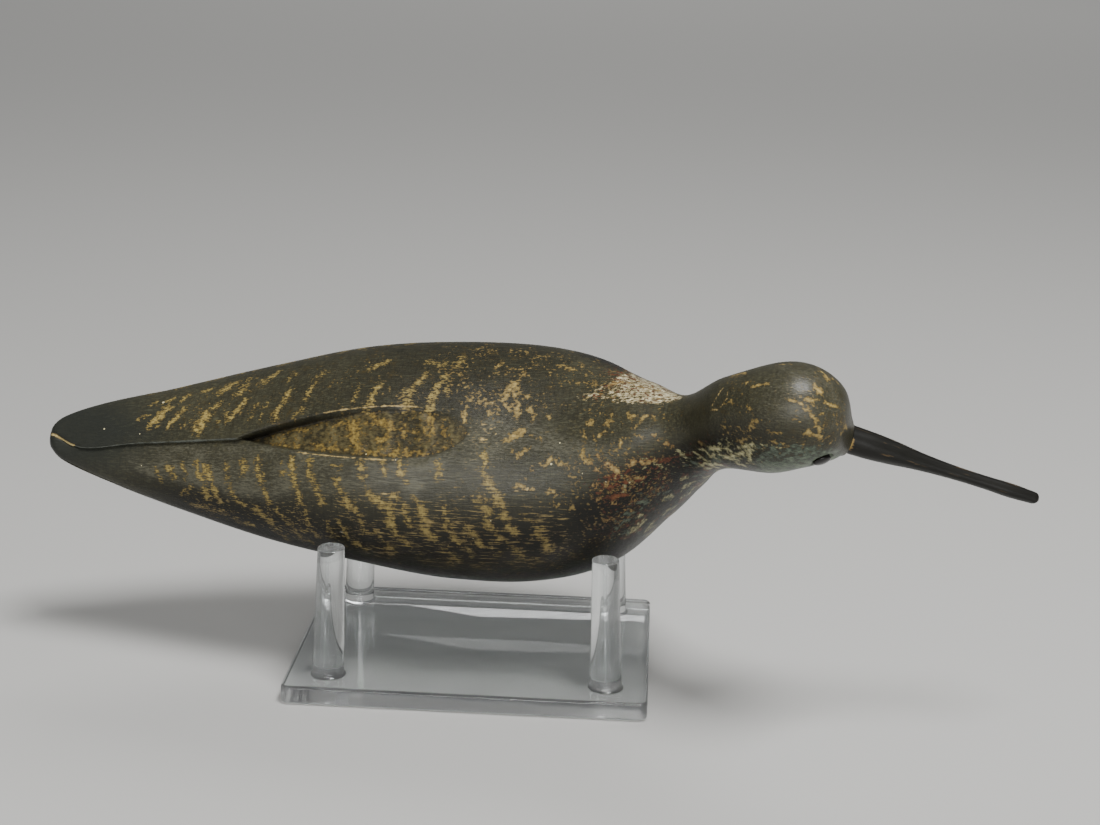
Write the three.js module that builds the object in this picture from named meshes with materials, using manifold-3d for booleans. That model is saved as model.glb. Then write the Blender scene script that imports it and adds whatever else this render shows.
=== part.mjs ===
// A carved shorebird decoy lying on its right side across a clear stand with four pegs.
// Millimetres, Z up. The origin is the centre of the stand's underside and X runs towards the head.
import * as THREE from 'three';
import { mergeVertices } from 'three/addons/utils/BufferGeometryUtils.js';
import Module from 'manifold-3d';

const wasm = await Module();
wasm.setup();

// Clear stand, a plate and four pegs moulded as one
const plateLength = 109;
const plateDepth = 80;
const plateThickness = 5.6;
const plateCornerRadius = 2.6;
const plateEdgeRound = 0.9;
const pegSpacingX = 83.6;
const pegSpacingY = 57.8;
const pegHeight = 40.5;
const pegTopDiameter = 8;
const pegFootDiameter = 9.6;
const pegFilletRadius = 0.9;
const pegTopRound = 0.6;
const pegLean = 1.3; // how far a peg's top stands in towards the middle
const pegSides = 18;

// Bird, one piece of wood from the tail to the root of the bill
const carvedLength = 241;
const rollAngle = 51.5; // degrees that the back leans over towards the viewer
const yawAngle = -1; // degrees that the head swings towards the viewer
const alongShift = -12.5; // middle of the carved length from the middle of the stand
const sideShift = 3; // the bird's line from the middle of the stand, away from the viewer
const restGap = 0.3; // between the wood and each peg
const restStations = [5, 10]; // the stretch of stations that can meet a peg
const restStep = 0.02;
const restDegrees = 1.5;
const restRounds = 12;
const headTurn = 7; // degrees to the bird's right
const turnPivot = 79.6; // percent of the carved length
const turnStart = 74.6;
const turnEnd = 89.6;

// Rows and rings of its surface
const rowSpacing = 3.7;
const sideRows = 38;
const leastHollowAngle = 4; // degrees that the hollow's rows span at least and at most, each side
const mostHollowAngle = 15;

// Each station of the bird, in percent of the carved length: where its plane meets the back line and
// the belly line, [along, height], its half width, and how high up its widest point is
const stations = [
  { back: [0, 3], belly: [0, 2.6], halfWidth: 0.3, widest: 0.5 },
  { back: [0.7, 4.4], belly: [0.7, 2.5], halfWidth: 1.7, widest: 0.55 },
  { back: [2.5, 4.8], belly: [2.5, 1.3], halfWidth: 3.2, widest: 0.58 },
  { back: [7.3, 5.6], belly: [7.3, -0.6], halfWidth: 5.1, widest: 0.58 },
  { back: [16, 7], belly: [16, -5.2], halfWidth: 7.8, widest: 0.56 },
  { back: [28, 9.8], belly: [28, -8.2], halfWidth: 11.2, widest: 0.52 },
  { back: [41, 12.9], belly: [41, -9.9], halfWidth: 14, widest: 0.5 },
  { back: [52.5, 13.6], belly: [52.5, -12.7], halfWidth: 15.3, widest: 0.5 },
  { back: [62, 13.9], belly: [64.3, -13], halfWidth: 15.1, widest: 0.5 },
  { back: [68.2, 14.8], belly: [74.3, -10.8], halfWidth: 12.9, widest: 0.5 },
  { back: [74.6, 16.9], belly: [81.4, -3.6], halfWidth: 8.1, widest: 0.5 },
  { back: [80.2, 18.7], belly: [84.2, 1.3], halfWidth: 4.9, widest: 0.5 },
  { back: [84.7, 25.6], belly: [86.8, 9.8], halfWidth: 4.8, widest: 0.5 },
  { back: [90.4, 30.3], belly: [92.6, 13.9], halfWidth: 6, widest: 0.5 },
  { back: [95.1, 30.8], belly: [95.3, 17], halfWidth: 5.7, widest: 0.5 },
  { back: [98.9, 27.8], belly: [98.2, 18.1], halfWidth: 4.1, widest: 0.5 },
];

// Hollow between the folded wings, and the line where one wing tip laps over the other
const hollowRear = 26;
const hollowWidest = 47;
const hollowFront = 55.2;
const hollowHalfWidth = 3.4;
const hollowPoint = 0.8; // how full its rear point is
const hollowSide = -1.5; // its middle line lies a little towards the bird's right
const hollowStraight = 50; // its middle line runs back to the body's from here
const hollowDepth = 3.4; // mm
const hollowWall = 1.3; // mm
const hollowRise = 24; // its floor runs up to the back over this share of the length
const hollowRearDepth = 1.25; // its depth at the rear point as a share of the depth ahead
const lapDepth = 1.2; // mm
const lapFade = 4.5; // mm
const lapFront = 34; // the lap dies away from the hollow's rear point to here
const lapBow = 0.55; // the lap bows a little to the right
const lapBowPlace = 6.5;
const lapBowLength = 4;

// Lower and front edge of each folded wing: [percent along, degrees from the back line, depth share]
const wingEdge = [
  [3, 92, 0.1], [9, 98, 0.6], [20, 104, 0.9], [34, 106, 1], [50, 102, 1], [58, 96, 1],
  [63.8, 85, 1], [67.6, 77, 1], [71.5, 73, 1], [74.6, 66, 0.8], [75.6, 54, 0.4], [75, 42, 0],
];
const wingEdgeDepth = 0.9; // mm
const wingEdgeFade = 4.5; // mm
const flankRadius = 33; // mm, turns degrees round the body into a distance

// Bill, a separate peg of wood let into the head
const billLength = 58.8;
const billRootDiameter = 8.2;
const billRootHeight = 19.2; // percent
const billDroop = 17.3; // degrees
const billSwing = 3; // degrees more than the head's turn
const billSocketDepth = 5;
const socketClearance = 0.3;
// Diameter along the bill, as shares of the root's: it narrows to a stem and swells a little at the tip
const billTaper = [1, 0.93, 0.78, 0.6, 0.49, 0.44, 0.44, 0.47, 0.4];
const billSquareness = 2.6; // 2 is round
const billSquareFrom = 0.3; // share of its length by which it has its full squareness
const billSteps = 14;
const billSides = 14;

// Eyes, two dark domes let into the head
const eyeDiameter = 5;
const eyeRise = 1.7;
const eyeSeatDepth = 1;
const eyeStation = 14.6;
const eyeAngle = 91; // degrees from the back line
const eyeSides = 18;

const wood = new THREE.MeshStandardMaterial({ color: '#3d352a', roughness: 0.6, metalness: 0 });
const billWood = new THREE.MeshStandardMaterial({ color: '#2b2925', roughness: 0.5, metalness: 0 });
const eyeGloss = new THREE.MeshStandardMaterial({ color: '#0c0b0a', roughness: 0.1, metalness: 0 });
const clearAcrylic = new THREE.MeshStandardMaterial({
  color: '#eaf4f8', roughness: 0.05, metalness: 0, transparent: true, opacity: 0.3,
});

const upright = new THREE.Vector3(0, 0, 1);
const radians = THREE.MathUtils.degToRad;
const smoothstep = THREE.MathUtils.smoothstep;
const lerp = THREE.MathUtils.lerp;
const clamp = THREE.MathUtils.clamp;
const percent = carvedLength / 100;
const tailPlace = alongShift - carvedLength / 2;

// A smooth curve through three numbers of each station
function stationCurve(numbers) {
  const points = numbers.map((n) => new THREE.Vector3(...n));
  return new THREE.CatmullRomCurve3(points, false, 'catmullrom', 0.5);
}

// The bill's turn before the head's own turn, and the round mouth of its socket, which is the last station
const billTurn = new THREE.Euler(0, radians(billDroop), -radians(billSwing), 'ZYX');
const billAxis = new THREE.Vector3(1, 0, 0).applyEuler(billTurn);
const billRoot = new THREE.Vector3(100 * percent, 0, billRootHeight * percent);
const mouthRadius = (billRootDiameter / 2 + socketClearance) / percent;
const allStations = [...stations, {
  back: [100 - mouthRadius * billAxis.z, billRootHeight + mouthRadius * billAxis.x],
  belly: [100 + mouthRadius * billAxis.z, billRootHeight - mouthRadius * billAxis.x],
  halfWidth: mouthRadius,
  widest: 0.5,
}];
const lastStation = allStations.length - 1;
const backCurve = stationCurve(allStations.map((s) => [s.back[0] * percent, 0, s.back[1] * percent]));
const bellyCurve = stationCurve(allStations.map((s) => [s.belly[0] * percent, 0, s.belly[1] * percent]));
const widthCurve = stationCurve(allStations.map((s) => [s.halfWidth * percent, s.widest, 0]));

// Half width of the hollow at a place along the body: a long point at the rear and a round front
function hollowHalf(along) {
  if (along < hollowRear || along > hollowFront) return 0;
  if (along < hollowWidest) {
    const share = (along - hollowRear) / (hollowWidest - hollowRear);
    return hollowHalfWidth * Math.sin(share * Math.PI / 2) ** hollowPoint;
  }
  const share = (along - hollowWidest) / (hollowFront - hollowWidest);
  return hollowHalfWidth * Math.sqrt(1 - share * share);
}

// Where the line of the lap and the hollow lies: it runs out to the body's own middle line at both ends
function hollowMiddle(along) {
  const bow = lapBow * Math.exp(-(((along - lapBowPlace) / lapBowLength) ** 2));
  const side = hollowSide * (1 - smoothstep(along, hollowStraight, turnStart));
  return (side - bow) * smoothstep(along, 0, lapBowLength);
}

// Depth cut from the back for the hollow and for the lap of the wing tips behind it
function backCut(along, side, height) {
  if (height < 0) return 0;
  const fromMiddle = (side - hollowMiddle(along)) * percent;
  const half = hollowHalf(along) * percent;
  const wall = clamp((half - Math.abs(fromMiddle)) / hollowWall, 0, 1);
  const deeper = lerp(hollowRearDepth, 1, smoothstep(along, hollowRear, lapFront));
  const floor = hollowDepth * deeper * smoothstep(hollowFront - along, 0, hollowRise);
  const lap = fromMiddle < 0 ? lapDepth * Math.exp(fromMiddle / lapFade) : 0;
  const kept = (1 - smoothstep(along, hollowRear, lapFront)) * smoothstep(along, 0, lapBowLength);
  return Math.max(wall * floor, lap * kept);
}

// Depth cut below each wing's edge, greatest at the edge and dying away over the flank
const wingLine = wingEdge.map(
  ([along, angle, share]) => [along * percent, radians(angle) * flankRadius, share],
);
function flankCut(along, angle) {
  const x = along * percent;
  const y = Math.abs(angle) * flankRadius;
  let nearest = Infinity;
  let cut = 0;
  for (let i = 0; i < wingLine.length - 1; i += 1) {
    const [ax, ay, as] = wingLine[i];
    const [bx, by, bs] = wingLine[i + 1];
    const length = (bx - ax) ** 2 + (by - ay) ** 2;
    const share = clamp(((x - ax) * (bx - ax) + (y - ay) * (by - ay)) / length, 0, 1);
    const dx = x - lerp(ax, bx, share);
    const dy = y - lerp(ay, by, share);
    const distance = Math.hypot(dx, dy);
    if (distance < nearest) {
      nearest = distance;
      const outside = (bx - ax) * dy - (by - ay) * dx > 0;
      cut = outside ? lerp(as, bs, share) * wingEdgeDepth * Math.exp(-distance / wingEdgeFade) : 0;
    }
  }
  return cut;
}

// The head's turn: points ahead of the neck swing to the bird's right about an upright line
function turned(point) {
  const angle = -radians(headTurn) * smoothstep(point.x, turnStart * percent, turnEnd * percent);
  const pivot = turnPivot * percent;
  const x = point.x - pivot;
  return point.set(
    pivot + x * Math.cos(angle) - point.y * Math.sin(angle),
    x * Math.sin(angle) + point.y * Math.cos(angle),
    point.z,
  );
}

// A point of the wood: station number and angle from the back line, positive to the bird's left
function straightPoint(station, angle) {
  const back = backCurve.getPoint(station / lastStation);
  const belly = bellyCurve.getPoint(station / lastStation);
  const { x: halfWidth, y: widest } = widthCurve.getPoint(station / lastStation);
  const up = Math.cos(angle);
  const level = up > 0 ? lerp(widest, 1, up) : widest * (1 + up);
  const core = belly.clone().lerp(back, widest);
  const point = belly.clone().lerp(back, level);
  point.y = halfWidth * Math.sin(angle);
  const along = point.x / percent;
  const inward = core.sub(point);
  const radius = inward.length();
  const depth = backCut(along, point.y / percent, up) + flankCut(along, angle);
  return point.addScaledVector(inward.divideScalar(radius), Math.min(depth, radius / 2));
}

function birdPoint(station, angle) {
  return turned(straightPoint(station, angle));
}

// Angles of the rows round the body: six follow the hollow's edges and the rest share what is left
function rowAngles(station) {
  const halfWidth = widthCurve.getPoint(station / lastStation).x / percent;
  const along = backCurve.getPoint(station / lastStation).x / percent;
  const middle = Math.asin(clamp(hollowMiddle(along) / halfWidth, -0.5, 0.5));
  const open = along > hollowWidest ? hollowHalfWidth : hollowHalf(along);
  const spread = Math.asin(clamp(open / halfWidth, 0, 0.5));
  const half = clamp(spread, radians(leastHollowAngle), radians(mostHollowAngle));
  const wall = Math.min(hollowWall / (halfWidth * percent), half / 2);
  const angles = [-half, wall - half, -half / 3, half / 3, half - wall, half].map((a) => middle + a);
  const rest = 2 * Math.PI - 2 * half;
  for (let i = 1; i <= sideRows; i += 1) angles.push(middle + half + rest * i / (sideRows + 1));
  return angles;
}

// Stations of the rings, about one row spacing apart along the back or the belly
function ringStations() {
  const rings = [0];
  const stretch = (curve, i) => curve.getPoint(i / lastStation).distanceTo(
    curve.getPoint((i + 1) / lastStation),
  );
  for (let i = 0; i < lastStation; i += 1) {
    const length = (stretch(backCurve, i) + stretch(bellyCurve, i)) / 2;
    const steps = Math.max(2, Math.round(length / rowSpacing));
    for (let step = 1; step <= steps; step += 1) rings.push(i + step / steps);
  }
  return rings;
}

// A closed skin over rings of points, with a fan on each end
function skin(rings) {
  const count = rings[0].length;
  const points = rings.flat();
  const middle = (ring) => ring.reduce((sum, p) => sum.add(p), new THREE.Vector3()).divideScalar(count);
  points.push(middle(rings[0]), middle(rings[rings.length - 1]));
  const index = [];
  for (let i = 0; i < rings.length - 1; i += 1) {
    for (let j = 0; j < count; j += 1) {
      const a = i * count + j;
      const b = i * count + (j + 1) % count;
      index.push(a, a + count, b, b, a + count, b + count);
    }
  }
  const lastRing = (rings.length - 1) * count;
  for (let j = 0; j < count; j += 1) {
    const next = (j + 1) % count;
    index.push(points.length - 2, j, next);
    index.push(points.length - 1, lastRing + next, lastRing + j);
  }
  const geometry = new THREE.BufferGeometry().setFromPoints(points);
  geometry.setIndex(index);
  return geometry;
}

function toManifold(geometry) {
  const bare = geometry.clone();
  bare.deleteAttribute('normal');
  bare.deleteAttribute('uv');
  const merged = mergeVertices(bare, 1e-4);
  return new wasm.Manifold(new wasm.Mesh({
    numProp: 3,
    vertProperties: new Float32Array(merged.attributes.position.array),
    triVerts: new Uint32Array(merged.index.array),
  }));
}

function fromManifold(solid) {
  const mesh = solid.getMesh();
  const geometry = new THREE.BufferGeometry();
  geometry.setAttribute('position', new THREE.BufferAttribute(mesh.vertProperties, 3));
  geometry.setIndex(new THREE.BufferAttribute(mesh.triVerts, 1));
  return geometry;
}

// Where an eye sits and faces, with Z out of the head: side is -1 for the right eye and 1 for the left
function eyePlace(side) {
  const step = 0.02;
  const angle = side * radians(eyeAngle);
  const point = birdPoint(eyeStation, angle);
  const along = birdPoint(eyeStation + step, angle).sub(birdPoint(eyeStation - step, angle));
  const around = birdPoint(eyeStation, angle + step).sub(birdPoint(eyeStation, angle - step));
  const outward = around.cross(along).negate().normalize();
  const turn = new THREE.Quaternion().setFromUnitVectors(upright, outward);
  return new THREE.Matrix4().compose(point, turn, new THREE.Vector3(1, 1, 1));
}

// An eye: a short straight seat and a domed top, on its own Z axis
function eyeGeometry() {
  const radius = eyeDiameter / 2;
  const profile = [new THREE.Vector2(0, -eyeSeatDepth), new THREE.Vector2(radius, -eyeSeatDepth)];
  const steps = 5;
  for (let i = 0; i <= steps; i += 1) {
    const a = Math.PI / 2 * i / steps;
    profile.push(new THREE.Vector2(i === steps ? 0 : radius * Math.cos(a), eyeRise * Math.sin(a)));
  }
  return new THREE.LatheGeometry(profile, eyeSides).rotateX(Math.PI / 2);
}

function eyeSocket(side) {
  const depth = eyeSeatDepth + socketClearance;
  const height = depth + eyeRise;
  const cutter = new THREE.CylinderGeometry(
    eyeDiameter / 2 + socketClearance, eyeDiameter / 2 + socketClearance, height, eyeSides,
  ).rotateX(Math.PI / 2).translate(0, 0, height / 2 - depth);
  return toManifold(cutter.applyMatrix4(eyePlace(side)));
}

function bodyGeometry() {
  const rings = ringStations().map((s) => rowAngles(s).map((a) => birdPoint(s, a)));
  const socket = billAxis.clone().applyAxisAngle(upright, -radians(headTurn))
    .setLength(billSocketDepth + socketClearance);
  rings.push(rings[rings.length - 1].map((p) => p.clone().sub(socket)));
  let body = toManifold(skin(rings));
  for (const side of [-1, 1]) body = body.subtract(eyeSocket(side));
  return fromManifold(body);
}

// The bill: rounded square sections along its own X axis, with its root at the origin
function billGeometry() {
  const taper = new THREE.CatmullRomCurve3(
    billTaper.map((d, i) => new THREE.Vector3(i, d, 0)), false, 'catmullrom', 0.5,
  );
  const ring = (x, diameter, squareness) => {
    const points = [];
    for (let j = 0; j < billSides; j += 1) {
      const a = 2 * Math.PI * j / billSides;
      const up = Math.cos(a);
      const across = Math.sin(a);
      const reach = (Math.abs(up) ** squareness + Math.abs(across) ** squareness) ** (-1 / squareness);
      points.push(new THREE.Vector3(x, across * reach * diameter / 2, up * reach * diameter / 2));
    }
    return points;
  };
  const rings = [ring(-billSocketDepth, billRootDiameter, 2), ring(0, billRootDiameter, 2)];
  const tip = billRootDiameter * billTaper[billTaper.length - 1];
  for (let i = 1; i <= billSteps; i += 1) {
    const share = i / billSteps;
    const diameter = billRootDiameter * taper.getPoint(share).y;
    const squareness = lerp(2, billSquareness, smoothstep(share, 0, billSquareFrom));
    rings.push(ring(share * (billLength - tip / 2), diameter, squareness));
  }
  for (const a of [30, 60, 80]) {
    const x = billLength - tip / 2 * (1 - Math.sin(radians(a)));
    rings.push(ring(x, tip * Math.cos(radians(a)), billSquareness));
  }
  return skin(rings);
}

// A peg about its own upright axis, from inside the plate to its rounded top, leaning in by the peg lean
function pegGeometry(lean) {
  const foot = pegFootDiameter / 2;
  const top = pegTopDiameter / 2;
  const sunk = -plateThickness / 2;
  const profile = [new THREE.Vector2(0, sunk), new THREE.Vector2(foot + pegFilletRadius, sunk)];
  for (const a of [0, 30, 60, 90]) {
    profile.push(new THREE.Vector2(
      foot + pegFilletRadius * (1 - Math.sin(radians(a))),
      pegFilletRadius * (1 - Math.cos(radians(a))),
    ));
  }
  for (const a of [0, 45, 90]) {
    profile.push(new THREE.Vector2(
      top - pegTopRound * (1 - Math.cos(radians(a))),
      pegHeight - pegTopRound * (1 - Math.sin(radians(a))),
    ));
  }
  profile.push(new THREE.Vector2(0, pegHeight));
  const shear = new THREE.Matrix4().set(1, 0, lean / pegHeight, 0, 0, 1, 0, 0, 0, 0, 1, 0, 0, 0, 0, 1);
  return new THREE.LatheGeometry(profile, pegSides).rotateX(Math.PI / 2).applyMatrix4(shear);
}

const pegCorners = [[-1, -1], [1, -1], [-1, 1], [1, 1]];

function standGeometry() {
  const x = plateLength / 2 - plateEdgeRound;
  const y = plateDepth / 2 - plateEdgeRound;
  const r = plateCornerRadius - plateEdgeRound;
  const outline = new THREE.Shape();
  outline.moveTo(r - x, -y);
  outline.lineTo(x - r, -y);
  outline.absarc(x - r, r - y, r, -Math.PI / 2, 0);
  outline.absarc(x - r, y - r, r, 0, Math.PI / 2);
  outline.absarc(r - x, y - r, r, Math.PI / 2, Math.PI);
  outline.absarc(r - x, r - y, r, Math.PI, 3 * Math.PI / 2);
  const plate = new THREE.ExtrudeGeometry(outline, {
    depth: plateThickness - 2 * plateEdgeRound, curveSegments: 5,
    bevelThickness: plateEdgeRound, bevelSize: plateEdgeRound, bevelSegments: 2,
  }).translate(0, 0, plateEdgeRound);
  let stand = toManifold(plate);
  for (const [sx, sy] of pegCorners) {
    const peg = pegGeometry(-sx * pegLean);
    peg.translate(sx * pegSpacingX / 2, sy * pegSpacingY / 2, plateThickness);
    stand = stand.add(toManifold(peg));
  }
  return fromManifold(stand);
}

// The bird's turn in the cradle at a given pitch
function cradleTurn(pitch) {
  return new THREE.Euler(radians(rollAngle), -pitch, radians(yawAngle), 'ZYX');
}

// The bird's rest in its cradle: its height and pitch are moved until, at the left pair of pegs and at the
// right pair, the lowest wood over a peg's top is one rest gap above it
function settle() {
  const samples = [];
  for (let station = restStations[0]; station <= restStations[1]; station += restStep) {
    for (let degrees = -180; degrees < 180; degrees += restDegrees) {
      const sample = birdPoint(station, radians(degrees));
      samples.push(sample.setX(sample.x + tailPlace));
    }
  }
  const pegTop = plateThickness + pegHeight;
  const reach = pegTopDiameter / 2 + restGap;
  const rest = { height: pegTop, pitch: 0 };
  const point = new THREE.Vector3();
  for (let round = 0; round < restRounds; round += 1) {
    const matrix = new THREE.Matrix4().makeRotationFromEuler(cradleTurn(rest.pitch));
    matrix.setPosition(0, sideShift, rest.height);
    const gaps = pegCorners.map(([sx, sy]) => {
      const cx = sx * (pegSpacingX / 2 - pegLean);
      const cy = sy * pegSpacingY / 2;
      let lowest = Infinity;
      for (const sample of samples) {
        point.copy(sample).applyMatrix4(matrix);
        if (Math.hypot(point.x - cx, point.y - cy) < reach) lowest = Math.min(lowest, point.z);
      }
      return lowest - pegTop - restGap;
    });
    const left = Math.min(gaps[0], gaps[2]);
    const right = Math.min(gaps[1], gaps[3]);
    rest.height -= (left + right) / 2;
    rest.pitch -= (right - left) / pegSpacingX;
  }
  return rest;
}

const scene = new THREE.Group();
const cradled = new THREE.Group();
const rest = settle();
cradled.position.set(0, sideShift, rest.height);
cradled.rotation.copy(cradleTurn(rest.pitch));
scene.add(cradled);

const bird = new THREE.Group();
bird.position.x = tailPlace;
cradled.add(bird);

const body = new THREE.Mesh(bodyGeometry(), wood);
body.name = 'decoy_body';
bird.add(body);

const bill = new THREE.Mesh(billGeometry(), billWood);
bill.name = 'bill';
bill.position.copy(turned(billRoot.clone()));
bill.rotation.set(0, radians(billDroop), -radians(headTurn + billSwing), 'ZYX');
bird.add(bill);

for (const [side, name] of [[-1, 'eye_right'], [1, 'eye_left']]) {
  const eye = new THREE.Mesh(eyeGeometry(), eyeGloss);
  eye.name = name;
  eyePlace(side).decompose(eye.position, eye.quaternion, eye.scale);
  bird.add(eye);
}

const stand = new THREE.Mesh(standGeometry(), clearAcrylic);
stand.name = 'stand';
scene.add(stand);

export default scene;
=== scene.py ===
import bpy
import numpy as np
from mathutils import Matrix, Vector


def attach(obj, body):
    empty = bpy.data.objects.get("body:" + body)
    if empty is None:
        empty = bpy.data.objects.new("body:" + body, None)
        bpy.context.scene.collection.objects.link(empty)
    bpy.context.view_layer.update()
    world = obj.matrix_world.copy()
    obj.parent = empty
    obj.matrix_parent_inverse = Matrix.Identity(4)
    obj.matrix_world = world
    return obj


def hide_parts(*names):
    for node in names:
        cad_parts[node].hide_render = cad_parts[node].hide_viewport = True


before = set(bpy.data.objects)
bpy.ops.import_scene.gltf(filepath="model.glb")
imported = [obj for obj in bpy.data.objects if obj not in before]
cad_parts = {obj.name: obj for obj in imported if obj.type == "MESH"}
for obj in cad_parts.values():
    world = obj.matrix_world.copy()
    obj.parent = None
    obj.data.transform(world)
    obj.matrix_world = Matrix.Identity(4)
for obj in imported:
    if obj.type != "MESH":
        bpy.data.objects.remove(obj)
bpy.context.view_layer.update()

# An old carved shorebird decoy on its side across a clear acrylic stand. Metres, Z up.
# Sizes below are in millimetres and are turned into metres where a mesh is made.
mm = 0.001
root = "root"


# Small shared tools

def linearColour(hexText):
    # sRGB hex to linear light: a straight part near black, then a power of 2.4
    parts = np.array([int(hexText[i:i + 2], 16) for i in (1, 3, 5)]) / 255
    parts = np.where(parts <= 0.04045, parts / 12.92, ((parts + 0.055) / 1.055) ** 2.4)
    return (*parts.tolist(), 1.0)


def fade(value, low, high):
    # smooth step from 0 at low to 1 at high
    share = np.clip((value - low) / (high - low), 0, 1)
    return share * share * (3 - 2 * share)


def window(value, low, high, soft):
    # 1 between low and high, with soft sides centred on them
    return fade(value, low - soft, low + soft) * (1 - fade(value, high - soft, high + soft))


def hump(value, middle, width):
    # a soft line: 1 at its middle, falling off by the square of the distance over its width
    return np.exp(-((value - middle) / width) ** 2)


def softNoise(place, size, seed):
    # random numbers on a cubic lattice of the given spacing, blended by smooth steps, 0 to 1
    lattice = np.random.default_rng(seed).random((32, 32, 32))
    cell = place / size
    base = np.floor(cell).astype(int)
    part = cell - base
    part = part * part * (3 - 2 * part)
    total = np.zeros(place.shape[:-1])
    for corner in np.ndindex(2, 2, 2):
        index = (base + corner) % 32
        weight = np.prod(np.where(np.array(corner) == 1, part, 1 - part), axis=-1)
        total += weight * lattice[index[..., 0], index[..., 1], index[..., 2]]
    return total


def smoothCurve(points, place):
    # Catmull-Rom curve through the points, with the ends carried on in a straight line
    points = np.asarray(points, float)
    last = len(points) - 1
    at = np.clip(np.floor(place).astype(int), 0, last - 1)
    f = (place - at)[..., None]
    b, c = points[at], points[at + 1]
    a = np.where((at > 0)[..., None], points[np.maximum(at - 1, 0)], 2 * points[0] - points[1])
    d = np.where((at < last - 1)[..., None], points[np.minimum(at + 2, last)],
                 2 * points[last] - points[last - 1])
    return 0.5 * (2 * b + (c - a) * f + (2 * a - 5 * b + 4 * c - d) * f ** 2
                  + (3 * b - a - 3 * c + d) * f ** 3)


def skinMesh(name, rings):
    # rings is rows x columns x 3 in metres: each row closes on itself and a fan closes each end
    rows, columns = rings.shape[:2]
    points = np.concatenate([rings.reshape(-1, 3), rings[0].mean(0)[None], rings[-1].mean(0)[None]])
    a = np.arange((rows - 1) * columns)
    b = a + 1 - columns * ((a % columns) == columns - 1)
    quads = np.stack([a, a + columns, b + columns, b], -1)
    j = np.arange(columns)
    k = (j + 1) % columns
    start = np.stack([np.full(columns, rows * columns), j, k], -1)
    end = np.stack([np.full(columns, rows * columns + 1), (rows - 1) * columns + k,
                    (rows - 1) * columns + j], -1)
    mesh = bpy.data.meshes.new(name)
    mesh.from_pydata(points, [], quads.tolist() + start.tolist() + end.tolist())
    mesh.polygons.foreach_set("use_smooth", np.ones(len(mesh.polygons), bool))
    mesh.update()
    piece = bpy.data.objects.new(name, mesh)
    bpy.context.scene.collection.objects.link(piece)
    return piece


def addValues(piece, name, values):
    # one number or one vector for each point of a skin; the two end points take their row's mean
    values = np.concatenate([values.reshape(-1, *values.shape[2:]),
                             values[0].mean(0)[None], values[-1].mean(0)[None]])
    kind, field = ("FLOAT_VECTOR", "vector") if values.ndim == 2 else ("FLOAT", "value")
    piece.data.attributes.new(name, kind, "POINT").data.foreach_set(
        field, values.astype(np.float32).ravel())


def addNode(tree, kind, links=None, **settings):
    # a node with its settings, and its sockets set or linked by name or number
    made = tree.nodes.new(kind)
    for key, value in settings.items():
        setattr(made, key, value)
    for key, value in (links or {}).items():
        if isinstance(value, bpy.types.NodeSocket):
            tree.links.new(value, made.inputs[key])
        else:
            made.inputs[key].default_value = value
    return made


def newMaterial(name):
    material = bpy.data.materials.new(name)
    material.use_nodes = True
    tree = material.node_tree
    tree.nodes.clear()
    shader = addNode(tree, "ShaderNodeBsdfPrincipled")
    addNode(tree, "ShaderNodeOutputMaterial", {"Surface": shader.outputs[0]})
    return material, tree, shader


def settle(piece, node, material):
    # the piece stands for its CAD node and rides on the one body
    piece.data.materials.clear()
    piece.data.materials.append(material)
    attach(piece, root)
    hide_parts(node)


# The camera stands where the photo was taken: place in mm, turns in degrees, focal length in pixels of the
# photo's frame
view = dict(
    place=(50.78, -523.99, 241.68), down=16.97, yaw=-3.2, roll=1.45,
    focal=1814.0, frameWidth=1100, frameHeight=825, sensorWidth=36.0, clipStart=0.01,
    pixelsPerMm=3.3,  # on the bird, half way along
)


def viewAxes():
    # the camera's own directions across, up and forward
    down, yaw, roll = (np.radians(view[k]) for k in ("down", "yaw", "roll"))
    forward = np.array([np.sin(yaw) * np.cos(down), np.cos(yaw) * np.cos(down), -np.sin(down)])
    level = np.array([np.cos(yaw), -np.sin(yaw), 0])
    above = np.cross(level, forward)
    return np.cos(roll) * level + np.sin(roll) * above, np.cos(roll) * above - np.sin(roll) * level, forward


# The bird's form, as carved

bird = dict(
    carvedLength=241.0,
    rollAngle=51.5, pitchAngle=-0.7148, yawAngle=-1.0,
    place=(0.0, 3.0, 64.0231), alongShift=-12.5,
    headTurn=7.0, turnPivot=79.6, turnStart=74.6, turnEnd=89.6,
    socketDepth=5.0, socketClearance=0.3,
    rings=404, wallColumns=7, floorColumns=28, sideColumns=200,
    # along and height of the back, along and height of the belly, half width, widest level
    stations=[
        (0, 3, 0, 2.6, 0.3, 0.5), (0.7, 4.4, 0.7, 2.5, 1.7, 0.55), (2.5, 4.8, 2.5, 1.3, 3.2, 0.58),
        (7.3, 5.6, 7.3, -0.6, 5.1, 0.58), (16, 7, 16, -5.2, 7.8, 0.56), (28, 9.8, 28, -8.2, 11.2, 0.52),
        (41, 12.9, 41, -9.9, 14, 0.5), (52.5, 13.6, 52.5, -12.7, 15.3, 0.5),
        (62, 13.9, 64.3, -13, 15.1, 0.5), (68.2, 14.8, 74.3, -10.8, 12.9, 0.5),
        (74.6, 16.9, 81.4, -3.6, 8.1, 0.5), (80.2, 18.7, 84.2, 1.3, 4.9, 0.5),
        (84.7, 25.6, 86.8, 9.8, 4.8, 0.5), (90.4, 30.3, 92.6, 13.9, 6, 0.5),
        (95.1, 30.8, 95.3, 17, 5.7, 0.5), (98.9, 27.8, 98.2, 18.1, 4.1, 0.5),
    ],
)
hollow = dict(
    rear=26.0, widest=47.0, front=55.2, halfWidth=3.4, point=0.8, side=-1.5, straight=50.0,
    depth=3.4, wall=1.3, rise=24.0, rearDepth=1.25,
    lapDepth=1.2, lapFade=4.5, lapFront=34.0, lapBow=0.55, lapBowPlace=6.5, lapBowLength=4.0,
)
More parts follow.
